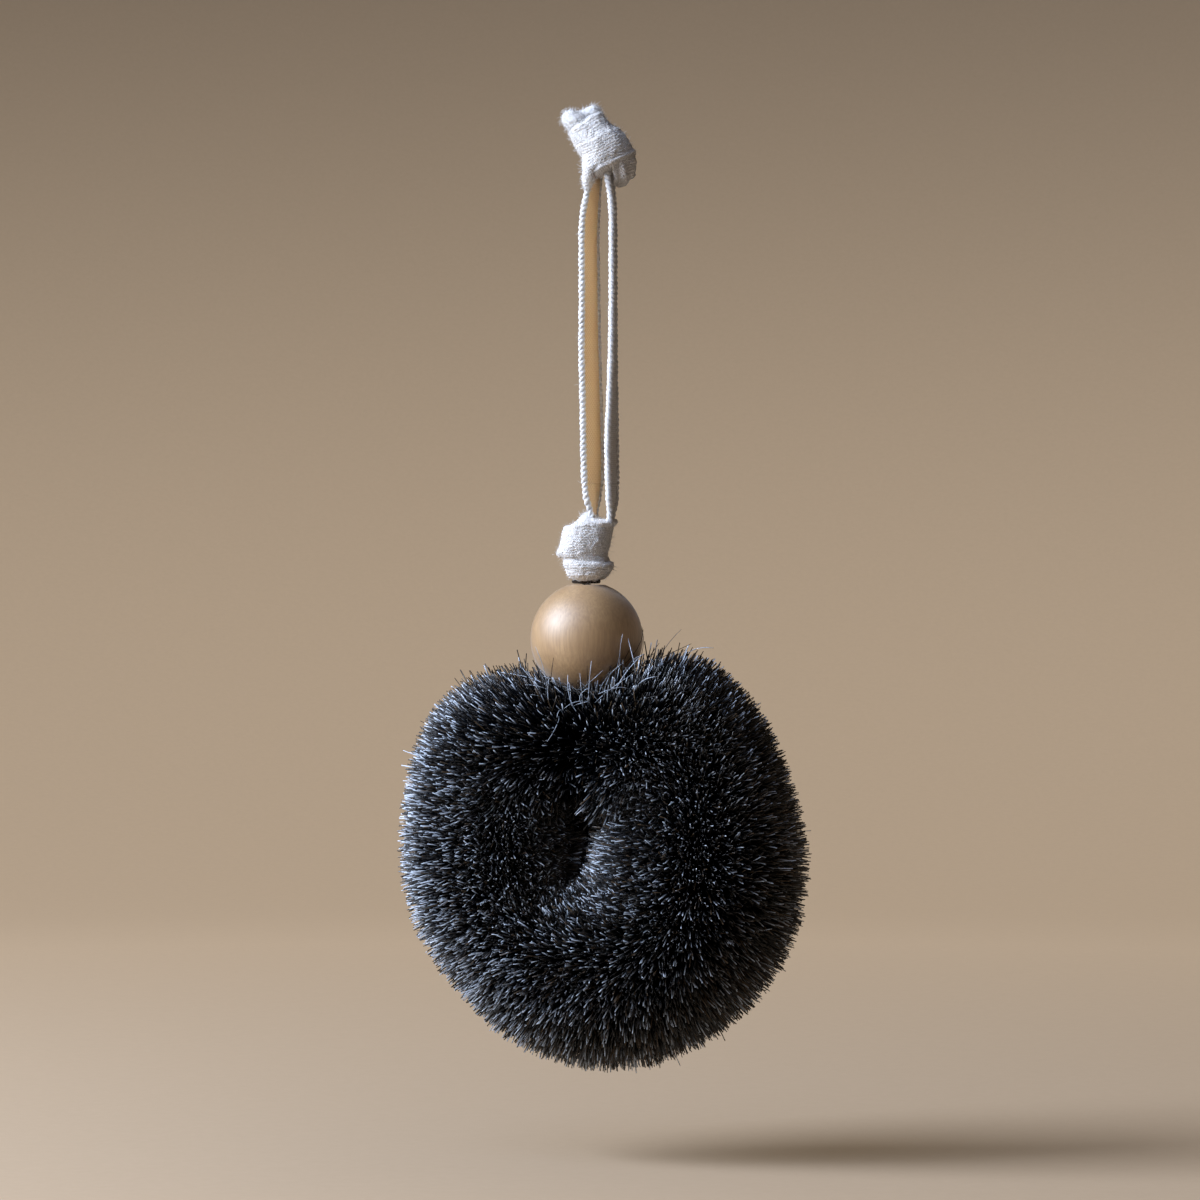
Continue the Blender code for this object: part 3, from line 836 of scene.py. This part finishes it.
fold_sections = (
    (-2.2, 3.7, 6.0, 1.4, 2.0),
    (-1.9, 2.9, 7.7, 3.0, 2.1),
    (-1.0, 2.5, 8.8, 4.6, 2.2),
    (0.0, 2.3, 9.6, 5.6, 2.3),
    (2.0, 2.0, 10.8, 6.5, 2.4),
    (4.0, 1.8, 11.3, 7.0, 2.4),
    (5.5, 2.4, 10.5, 5.0, 2.2),
)
lobe_sections = (
    (0.7, -4.6, -3.5, 0.6, 2.0),
    (1.4, -4.75, -2.4, 1.5, 2.1),
    (2.6, -4.65, -0.8, 2.4, 2.2),
    (4.2, -4.0, 1.0, 3.2, 2.3),
    (6.0, -3.0, 1.8, 3.4, 2.2),
)
front_end_sections = (
    (17.4, -1.3, 4.6, 2.4, 2.2),
    (19.2, -1.7, 4.4, 2.6, 2.3),
    (20.2, -1.8, 3.4, 2.3, 2.3),
    (21.4, -1.3, 2.2, 1.6, 2.1),
    (22.2, 0.2, 1.6, 0.5, 2.0),
)
back_end_sections = (
    (17.0, 1.4, 8.2, 2.4, 2.2),
    (18.8, 1.5, 8.4, 2.6, 2.3),
    (19.6, 1.7, 8.3, 2.3, 2.3),
    (20.2, 2.2, 8.1, 1.8, 2.3),
    (20.7, 3.6, 7.5, 0.8, 2.1),
)


def crease_relief(place, up):
    """Raises upright creases, with soft lumps between them."""
    wander = CREASE_WANDER * grain_of(place, CREASE_WANDER_SIZE)
    creases = np.cos(2 * np.pi * (place[:, :, 0] + wander) / CREASE_SPACING)
    return CREASE_HEIGHT * (creases - 0.5) + cloth_skin(place, up)


def soft_relief(place, up):
    """Raises soft lumps of two sizes."""
    return 2 * LUMP_HEIGHT * (grain_of(place, LUMP_SIZE) + 0.4 * grain_of(place, GRIT_SIZE))


knot_parts = []
for name, depth, sections, relief, material in (
    ("upper_knot_fold", FOLD_DEPTH, fold_sections, crease_relief, bleached_weave),
    ("upper_knot_lobe", LOBE_DEPTH, lobe_sections, cloth_skin, bleached_weave),
    ("cut_end_front", -END_DEPTH, front_end_sections, soft_relief, bleached_yarn),
    ("cut_end_back", END_DEPTH, back_end_sections, soft_relief, bleached_yarn),
):
    base = turn_with_knots(np.array([0, depth, 0]))
    made = make_knot_body(name, base, UPPER_LEAN, sections, relief, 60, 120, material)
    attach(made, "tape_loop")
    knot_parts.append(made)
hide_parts("tape_end_front")
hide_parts("tape_end_back")

# %% [markdown]
# The lower knot is wider than it is tall. One wrap goes round its waist, a roll of tape bulges
# under it against the bead, and a hem runs below the small dome where both runs go in.

# %% Lower knot
LOWER_SIDE = -0.0046
LOWER_SAG = 0.0005
ROLL_TOP_AT = 0.0061
ROLL_LEAN = 0.02
ROLL_HEIGHT = 0.0003
ROLL_GROOVE = 0.0006
HEM_AT = 0.0157
HEM_LEAN = -0.13
HEM_HEIGHT = 0.0004
HEM_STEP = 0.0005
HEM_WANDER = 0.0005
HEM_WANDER_SIZE = 0.004

lower_sections = (
    (0.0, -1.9, 2.2, 2.6, 2.1),
    (0.5, -2.7, 3.0, 4.2, 2.1),
    (1.2, -4.3, 4.6, 5.4, 2.2),
    (2.0, -5.1, 5.9, 6.6, 2.3),
    (3.9, -5.6, 6.8, 7.1, 2.5),
    (5.2, -5.9, 6.9, 7.1, 2.5),
    (6.2, -6.4, 6.5, 6.8, 2.4),
    (7.1, -7.7, 5.6, 6.8, 2.3),
    (8.0, -8.1, 5.7, 7.1, 2.3),
    (9.2, -7.3, 6.0, 7.4, 2.5),
    (11.1, -6.8, 6.3, 7.5, 2.6),
    (13.4, -6.4, 6.9, 7.3, 2.6),
    (15.0, -5.2, 7.3, 7.0, 2.5),
    (16.3, -3.5, 8.0, 6.4, 2.5),
    (17.0, -2.9, 8.0, 5.6, 2.4),
    (17.4, -2.4, 4.4, 4.6, 2.2),
    (18.5, -1.4, 2.8, 3.2, 2.0),
    (19.2, -0.1, 1.5, 1.0, 2.0),
)


def lower_relief(place, up):
    """Raises a rolled wrap at the foot and a hem line under the dome at the top."""
    wander = HEM_WANDER * grain_of(place, HEM_WANDER_SIZE)
    roll = up + ROLL_LEAN * place[:, :, 0] - ROLL_TOP_AT + wander
    height = ROLL_HEIGHT * ridge(roll, -0.0014, 0.0009)
    height -= ROLL_GROOVE * ridge(roll, 0, 0.0005)
    hem = up + HEM_LEAN * place[:, :, 0] - HEM_AT + wander
    height += HEM_HEIGHT * ridge(hem, -0.0006, 0.0005) - HEM_STEP * ease(hem / 0.0004)
    return height + cloth_skin(place, up)


lower_knot = make_knot_body(
    "lower_knot_cloth",
    (LOWER_SIDE, 0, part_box("lower_knot")[0].z - LOWER_SAG),
    0.0,
    lower_sections,
    lower_relief,
    rows=130,
    columns=240,
    material=bleached_weave,
)
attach(lower_knot, "brush")
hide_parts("lower_knot")
print("knot points:", len(upper_knot.data.vertices), len(lower_knot.data.vertices))

# %% [markdown]
# ## Cotton fuzz
#
# Spun cotton always sheds fine hairs, and against a darker backdrop they soften the outline of
# the knots and of the tape's edges. Each hair is a bent strand up to a millimetre or so long. A
# real one is far thinner than a pixel, so these are drawn thicker, just enough to show.

# %% Fuzz on knots and tape
FUZZ_RADIUS = 0.000028
FUZZ_LENGTH = 0.0008
FUZZ_SPREAD = 0.9
FUZZ_CURL = 0.45
FUZZ_STEPS = 4
EDGE_FUZZ_COUNT = 700
EDGE_FUZZ_LENGTH = 0.00064
rng = np.random.default_rng(7)


def make_fuzz(name, piece, count, length):
    """Grows bent hairs from points picked at random on a piece."""
    picked = rng.integers(0, len(piece.data.vertices), count)
    root = np.array([piece.data.vertices[i].co for i in picked])
    normal = np.array([piece.data.vertices[i].normal for i in picked])
    sideways = unit(rng.normal(size=(count, 3)))
    aim = unit(normal + FUZZ_SPREAD * sideways)
    curl = unit(rng.normal(size=(count, 3)))
    tall = length * (0.4 + rng.random(count)[:, None] ** 2 * 1.2)
    share = np.linspace(0, 1, FUZZ_STEPS)[None, :, None]
    lines = root[:, None, :] + (aim * tall)[:, None, :] * share
    lines = lines + (curl * tall * FUZZ_CURL)[:, None, :] * share**2
    radii = np.full(lines.shape[:2], FUZZ_RADIUS)
    fuzz = add_strands(name, lines, radii, 3, bleached_yarn)
    return fuzz


for knot, body, count in (
    (upper_knot, "tape_loop", 1500),
    (knot_parts[1], "tape_loop", 300),
    (knot_parts[2], "tape_loop", 900),
    (knot_parts[3], "tape_loop", 900),
    (lower_knot, "brush", 1300),
):
    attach(make_fuzz(f"{knot.name}_fuzz", knot, count, FUZZ_LENGTH), body)
for side_name in ("left", "right"):
    cords = bpy.data.objects[f"tape_cords_{side_name}"]
    fuzz = make_fuzz(f"tape_fuzz_{side_name}", cords, EDGE_FUZZ_COUNT, EDGE_FUZZ_LENGTH)
    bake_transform(fuzz)

# %% [markdown]
# ## The twisted core
#
# Inside the ring two steel wires are twisted round each other, and the fibres are gripped between
# them. The fibres hide the core almost everywhere, but the ring is hollow without it.

# %% Ring line
RING_SIDE = -0.0010
RING_RADIUS = 0.0270
RING_BELOW_BEAD = 0.0447
RING_ROUND_POWER = 2.0
RING_FLAT_POWER = 4.0
RING_TOP_SHARE = 1.13
RING_BREAK = 0.0018
CORE_STEPS = 2400
ring_centre = np.array([RING_SIDE, 0, bead_middle.z - bead_half_height - RING_BELOW_BEAD])


def core_point(angle):
    """Returns the core's middle at an angle about the ring's middle, from +X towards +Z."""
    cos, sin = np.cos(angle), np.sin(angle)
    power = np.where(sin > 0, RING_FLAT_POWER, RING_ROUND_POWER)
    reach = RING_RADIUS / (np.abs(cos) ** power + np.abs(sin) ** power) ** (1 / power)
    rise = np.where(sin > 0, reach * RING_TOP_SHARE, reach) * sin
    return ring_centre + np.stack([reach * cos, 0 * cos, rise], axis=-1)


stem_aside = bead_middle.x - RING_SIDE
stem_angle = math.pi / 2 + math.atan2(-stem_aside, RING_RADIUS)
half_break = math.atan2(RING_BREAK, RING_RADIUS)
ring_sweep = 2 * math.pi - 2 * half_break

angles = stem_angle + half_break + ring_sweep * np.linspace(0, 1, CORE_STEPS)
core_line = core_point(angles)
core_steps = np.linalg.norm(np.diff(core_line, axis=0), axis=1)
core_length = np.concatenate([[0], np.cumsum(core_steps)])
print("core length, mm:", round(1000 * core_length[-1]))

# %% Core wires
CORE_PITCH = 0.0060
WIRE_RADIUS = 0.0006
WIRE_SIDES = 8
WIRE_THINNING = 6
core_along = unit(np.gradient(core_line, axis=0))
core_normal = np.stack([core_along[:, 2], 0 * core_length, -core_along[:, 0]], axis=1)
wire_turn = 2 * np.pi * core_length / CORE_PITCH
wire_lines = []
for ply in (0, np.pi):
    swing = core_normal * np.cos(wire_turn + ply)[:, None]
    swing[:, 1] += np.sin(wire_turn + ply)
    wire_lines.append((core_line + swing * WIRE_RADIUS)[::WIRE_THINNING])
wire_lines = np.array(wire_lines)
wire_radii = np.full(wire_lines.shape[:2], WIRE_RADIUS)
ring_axis = np.array([0.0, 1.0, 0.0])

core_wires = add_strands("core_wires", wire_lines, wire_radii, WIRE_SIDES, steel, ring_axis)
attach(core_wires, "brush")

# %% [markdown]
# ## The fibres
#
# The fibres are stiff plant fibre, dyed black. Each stands square to the core, and the twist of
# the wires spreads them all round it, as on a bottle brush. After bending, the whole brush was
# trimmed, so the tips lie close to one smooth surface. Inside the ring there is no room: the
# fibres from opposite sides meet and are pushed out to the front and back, which leaves a dimple.
#
# Dye takes unevenly. Most fibres are near black, some are charcoal, and a few stay grey or brown.
# The grey is partly a painted highlight: its pale bluish tint stands for the window's glint on
# glossy fibres. Their tips are scuffed and glossy. Deeper in the brush the grey turns black and
# the gloss fades, which is painted shade for the shade between the fibres. Each fibre carries its
# own shade as a number, and the material mixes the dyes by it.

# %% Fibre material
def make_fibre():
    """Dyed plant fibre: near black, semi-gloss, a few fibres grey or brown.

    The grey is partly a painted highlight, and the darker, duller fibre deep in the brush is
    painted shade.
    """
    material, shader, add = new_material("black_dyed_plant_fibre")
    shade, tall, warm = (
        add("Attribute", {}, attribute_name=mark).outputs["Fac"]
        for mark in ("fibre_shade", "fibre_height", "fibre_warmth")
    )
    charcoal = add("MapRange", {"Value": shade, "From Min": 0.25, "From Max": 0.80})
    # painted shade: the grey shows only near the tips and turns black deeper in the brush
    outer = add("MapRange", {"Value": tall, "From Min": 0.84, "From Max": 0.97})
    # partly real undyed fibres, partly a painted highlight: the pale bluish grey stands for the
    # window's glint
    undyed_and_glint = add("MapRange", {"Value": shade, "From Min": 0.80, "From Max": 0.90})
    grey = add("Math", {0: outer, 1: undyed_and_glint}, operation="MULTIPLY")
    worn = add("MapRange", {"Value": tall, "From Min": 0.96, "From Max": 1.0, "To Max": 0.05})
    colour = srgb("#020303")
    dyes = ((charcoal, "#0A0D12"), (grey, "#D6E2F2"), (warm, "#6B5842"), (worn, "#8E8F90"))
    for share, dye in dyes:
        mix = {0: share, MIX_A: colour, MIX_B: srgb(dye)}
        colour = add("Mix", mix, data_type="RGBA")
    gloss = add("MapRange", {"Value": shade, "To Min": 0.24, "To Max": 0.14})
    # painted shade: the gloss fades deeper in the brush
    painted_shade_shines = {"Value": tall, "From Min": 0.84, "From Max": 0.97, "To Min": 0.05, "To Max": 0.5}
    painted_shade_shine = add("MapRange", painted_shade_shines)
    look = {"Base Color": colour, "Roughness": gloss, "Specular IOR Level": painted_shade_shine, "IOR": 1.54}
    fill_inputs(shader, look)
    return material


fibre_material = make_fibre()

# %% [markdown]
# The fibres grow sector by sector, one piece for each slice of the core. For each fibre the code
# picks a place along the core and a turn round it, and works out where its tip would be. Then it
# gathers neighbours into loose tufts, holds the tips clear of the bead, and pushes tips that would
# cross the ring's middle out to the front or back. Fibres towards the lower left are greyer, which
# is painted light from the window at the left. All random numbers start from fixed seeds, so every
# run grows the same brush.

# %% Fibre sizes
SECTORS = 14
FIBRES_PER_MM = 415
FIBRE_RADIUS = 0.00018
FIBRE_TAPER = np.array([1.0, 1.0, 0.95, 0.80])
FIBRE_STEPS = len(FIBRE_TAPER)
FIBRE_ROOT = 0.0006
REACH_ANGLES = (
    (0, 30, 45, 56, 66, 74, 80, 88, 100, 112)
    + (124, 150, 180, 205, 225, 250, 270, 300, 330)
)
REACH_MM = (
    (30.4, 26.8, 25.8, 27.6, 30.4, 28.6, 25.0, 20.2, 20.2, 25.0)
    + (27.2, 27.8, 28.4, 27.0, 26.0, 28.0, 29.4, 30.0, 30.4)
)
TRIM = 0.0034
TUFT_SIZE = 0.0045
TUFT_PULL = 0.16
TUFT_JITTER = 0.35
TUFT_LEAN = 0.0024
FIBRE_LEAN = 0.0056
FIBRE_BOW = 0.0012
ELBOW_SHARE = 0.6
STEM_LEAN = 0.0110
STEM_LEAN_SPREAD = math.radians(24)
BEAD_CLEARANCE = 0.0003
STRAY_SHARE = 0.012
STRAY_EXTRA = 0.0030
STRAY_LEAN = 2.5
fibre_rng = np.random.default_rng(11)
noise.seed_set(11)


def fibre_reach(angle):
    """Returns how far fibres stand off the core, longest at the right and in the top lobes."""
    return np.interp(np.degrees(angle), REACH_ANGLES, REACH_MM, period=360) / PER_MM


def field_of(points, size):
    """Returns a smooth random vector at each point, with features of about this size."""
    return np.array([noise.noise_vector(Vector(point)) for point in points / size])


def push_from_bead(points):
    """Moves points that lie in the bead out to just off its surface."""
    away = points - np.array(bead_middle)
    distance = np.linalg.norm(away, axis=-1, keepdims=True)
    clear = bead_radius + BEAD_CLEARANCE + FIBRE_RADIUS
    return np.where(distance < clear, points + away * (clear / distance - 1), points)


# %% The seam where the ring's two sides meet
SEAM_HEIGHTS = (-0.010, 0.0096, 0.026, 0.045)
SEAM_SIDES = (-0.0052, -0.0035, -0.0055, 0.0035)
SEAM_FOOT = -0.006
SEAM_HEAD = 0.013
SEAM_OVERLAP = (-0.0020, 0.0022)
SEAM_DEPTH_SHARES = (0.60, 0.98)
PARTING = 0.0009
PARTING_WIDTH = 0.0022
PARTING_LOW = -0.012


def seam_side(height):
    """Returns where the seam lies, left to right, at a height over the ring's middle."""
    return np.interp(height, SEAM_HEIGHTS, SEAM_SIDES)


def push_from_seam(tip, core, reach):
    """Stops inward tips at the seam in the ring's middle, and turns them to the front or back."""
    height = np.clip(core[:, 2] - ring_centre[2], SEAM_FOOT, SEAM_HEAD)
    seam = np.stack([seam_side(height), 0 * height, height + ring_centre[2]], axis=1)
    inward = seam - core
    distance = np.linalg.norm(inward, axis=1)
    inward = inward / distance[:, None]
    keep = fibre_rng.uniform(*SEAM_OVERLAP, len(tip))
    along = ((tip - core) * inward).sum(axis=1)
    over = np.maximum(0, along - distance + keep)
    moved = tip - inward * over[:, None]
    in_plane = np.hypot(moved[:, 0] - core[:, 0], moved[:, 2] - core[:, 2])
    deep = fibre_rng.uniform(*SEAM_DEPTH_SHARES, len(tip))
    deep = deep * np.sqrt(np.maximum(0, reach**2 - in_plane**2))
    side = np.where(tip[:, 1] >= 0, 1, -1)
    pushed = side * np.maximum(np.abs(tip[:, 1]), deep)
    moved[:, 1] = np.where(over > 0, pushed, tip[:, 1])
    return moved


def part_at_seam(tip):
    """Parts the tips on both sides of the seam, from the dimple up to the stem."""
    height = tip[:, 2] - ring_centre[2]
    aside = tip[:, 0] - seam_side(height)
    near = np.exp(-((aside / PARTING_WIDTH) ** 2))
    grown = ease((height - PARTING_LOW) / -PARTING_LOW)
    moved = tip.copy()
    moved[:, 0] += np.where(aside > 0, 1, -1) * PARTING * near * grown
    return moved


# %% Grow fibres on one slice of the core
def grow_fibres(first, last):
    """Returns the fibres' centre lines between two lengths along the core, and their marks."""
    count = int((last - first) * PER_MM * FIBRES_PER_MM)
    length = first + (last - first) * fibre_rng.random(count)
    angle = np.interp(length, core_length, angles)
    turn = 2 * np.pi * fibre_rng.random(count)
    stray = fibre_rng.random(count) < STRAY_SHARE
    core = core_point(angle)
    reach = fibre_reach(angle) - TRIM * fibre_rng.random(count)
    reach = reach + stray * STRAY_EXTRA * fibre_rng.random(count)
    outward = np.stack([np.cos(angle), 0 * angle, np.sin(angle)], axis=1)
    spoke = outward * np.cos(turn)[:, None]
    spoke[:, 1] += np.sin(turn)
    tip = core + spoke * reach[:, None]
    jitter = TUFT_JITTER * field_of(tip, TUFT_SIZE * 2)
    cells = np.round(tip / TUFT_SIZE + jitter) * TUFT_SIZE
    tip = tip + (cells - tip) * TUFT_PULL
    tip = tip + TUFT_LEAN * field_of(tip, TUFT_SIZE * 1.4)
    spray = fibre_rng.normal(0, FIBRE_LEAN, (count, 3))
    tip = tip + spray * np.where(stray, STRAY_LEAN, 1.0)[:, None]
    from_stem = ((angle - stem_angle + np.pi) % (2 * np.pi) - np.pi) / STEM_LEAN_SPREAD
    tip[:, 0] -= STEM_LEAN * (from_stem * np.exp(0.5 - from_stem**2 / 2))
    tip = core + unit(tip - core) * reach[:, None]
    tip = part_at_seam(push_from_seam(tip, core, reach))
    root = core + spoke * FIBRE_ROOT
    elbow = (root + tip) / 2 + fibre_rng.normal(0, FIBRE_BOW, (count, 3))
    straight = core + spoke * (reach / 2)[:, None]
    elbow = elbow * ELBOW_SHARE + straight * (1 - ELBOW_SHARE)
    share = np.linspace(0, 1, FIBRE_STEPS)[None, :, None]
    lines = root[:, None] * (1 - share) ** 2 + 2 * elbow[:, None] * share * (1 - share)
    lines = push_from_bead(lines + tip[:, None] * share**2)
    tall = np.linalg.norm(lines - core[:, None], axis=2) / fibre_reach(angle)[:, None]
    return lines, angle, spoke, tall


# %% Grow the sectors
CLUMP_SIZE = 0.010
CLUMP_EDGES = (0.32, 0.55)
CLUMP_SHARE = 0.25
# painted light: fibres are made greyer towards the lower left, on the window's side
PAINTED_LIGHT_TURN = math.radians(30)
PAINTED_LIGHT_START = 0.010
PAINTED_LIGHT_WIDTH = 0.035
PAINTED_LIGHT_SHARE = 0.50
WARM_SHARE = 0.05
WARM_RIM_SHARE = 0.35
painted_light_way = np.array([math.cos(PAINTED_LIGHT_TURN), 0, math.sin(PAINTED_LIGHT_TURN)])


def clump_share(points, size, start, end):
    """Returns how strongly each place lies in an odd-coloured clump, from noise."""
    values = np.array([noise.noise(Vector(point)) for point in points / size])
    return ease((values - start) / (end - start))


fibre_count = 0
for sector in range(SECTORS):
    first = core_length[-1] * sector / SECTORS
    last = core_length[-1] * (sector + 1) / SECTORS
    lines, angle, spoke, tall = grow_fibres(first, last)
    count, steps, _ = lines.shape
    radii = FIBRE_RADIUS * (0.75 + 0.45 * fibre_rng.random((count, 1)))
    radii = radii * FIBRE_TAPER
    piece = add_strands(f"fibres_{sector + 1:02d}", lines, radii, 3, fibre_material)
    tips = lines[:, -1]
    shade = fibre_rng.random(count)
    pale = clump_share(tips, CLUMP_SIZE, *CLUMP_EDGES)
    # painted light: a share of the fibres towards the lower left turn grey
    painted_light = ease(((ring_centre - tips) @ painted_light_way - PAINTED_LIGHT_START) / PAINTED_LIGHT_WIDTH)
    paler = (CLUMP_SHARE * pale + PAINTED_LIGHT_SHARE * painted_light) * fibre_rng.random(count)
    shade = np.clip(shade + paler, 0, 1)
    lower_right = ease((np.cos(angle) - np.sin(angle)) / 1.2)
    rim = lower_right * ease(spoke[:, 0] ** 2 + spoke[:, 2] ** 2 - 0.4)
    warm = fibre_rng.random(count) < WARM_SHARE + WARM_RIM_SHARE * rim
    warmth = warm * (0.2 + 0.6 * fibre_rng.random(count))
    mark_points(piece, "fibre_shade", np.repeat(shade, steps * 3))
    mark_points(piece, "fibre_warmth", np.repeat(warmth, steps * 3))
    mark_points(piece, "fibre_height", np.repeat(tall.ravel(), 3))
    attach(piece, "brush")
    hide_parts(f"bristle_{sector + 1:02d}")
    fibre_count += count
print("fibres:", fibre_count)

# %% [markdown]
# Bending the brush into a ring crushes it against the bead. Some fibres there are pulled half out
# or bent, and they stand off at odd angles round the bead's foot, in front of it and beside it. A
# share of them show pale against the bead and the dark brush: partly fibres that lost their dye,
# partly a painted highlight for the window's glint on them.

# %% Loose fibres round the bead's foot
LOOSE_COUNT = 130
LOOSE_ASIDE = (math.radians(-30), math.radians(12))
LOOSE_TURNS = (math.radians(15), math.radians(62))
LOOSE_BURIED = 0.0050
LOOSE_LENGTHS = (0.0060, 0.0115)
LOOSE_SPREAD = 0.55
LOOSE_BOW = 0.65
LOOSE_RADIUS = 0.00009
LOOSE_STEPS = 7
LOOSE_SIDES = 4


def make_loose_fibres():
    """Grows bent fibres at odd angles out of the top of the brush, at its front and back."""
    angle = stem_angle + fibre_rng.uniform(*LOOSE_ASIDE, LOOSE_COUNT)
    side = np.where(fibre_rng.random(LOOSE_COUNT) < 0.5, 1, -1)
    turn = side * fibre_rng.uniform(*LOOSE_TURNS, LOOSE_COUNT)
    outward = np.stack([np.cos(angle), 0 * angle, np.sin(angle)], axis=1)
    spoke = outward * np.cos(turn)[:, None]
    spoke[:, 1] += np.sin(turn)
    start = core_point(angle) + spoke * (fibre_reach(angle) - LOOSE_BURIED)[:, None]
    aim = unit(spoke + LOOSE_SPREAD * fibre_rng.normal(size=(LOOSE_COUNT, 3)))
    bow = LOOSE_BOW * unit(fibre_rng.normal(size=(LOOSE_COUNT, 3)))
    length = fibre_rng.uniform(*LOOSE_LENGTHS, LOOSE_COUNT)[:, None, None]
    share = np.linspace(0, 1, LOOSE_STEPS)[None, :, None]
    lines = start[:, None] + length * (aim[:, None] * share + bow[:, None] * share**2)
    lines = push_from_bead(lines)
    radii = np.full(lines.shape[:2], LOOSE_RADIUS)
    radii[:, -1] *= 0.6
    loose = add_strands("loose_fibres", lines, radii, LOOSE_SIDES, fibre_material)
    # half the loose fibres are pale: partly undyed, partly a painted highlight
    shade = np.where(fibre_rng.random(LOOSE_COUNT) < 0.5, 1.0, 0.2)
    points_each = LOOSE_STEPS * LOOSE_SIDES
    mark_points(loose, "fibre_shade", np.repeat(shade, points_each))
    mark_points(loose, "fibre_warmth", np.zeros(LOOSE_COUNT * points_each))
    # marked as near the tips all along, so the painted shade of the deep brush hardly darkens them
    mark_points(loose, "fibre_height", np.full(LOOSE_COUNT * points_each, 0.96))
    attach(loose, "brush")


make_loose_fibres()
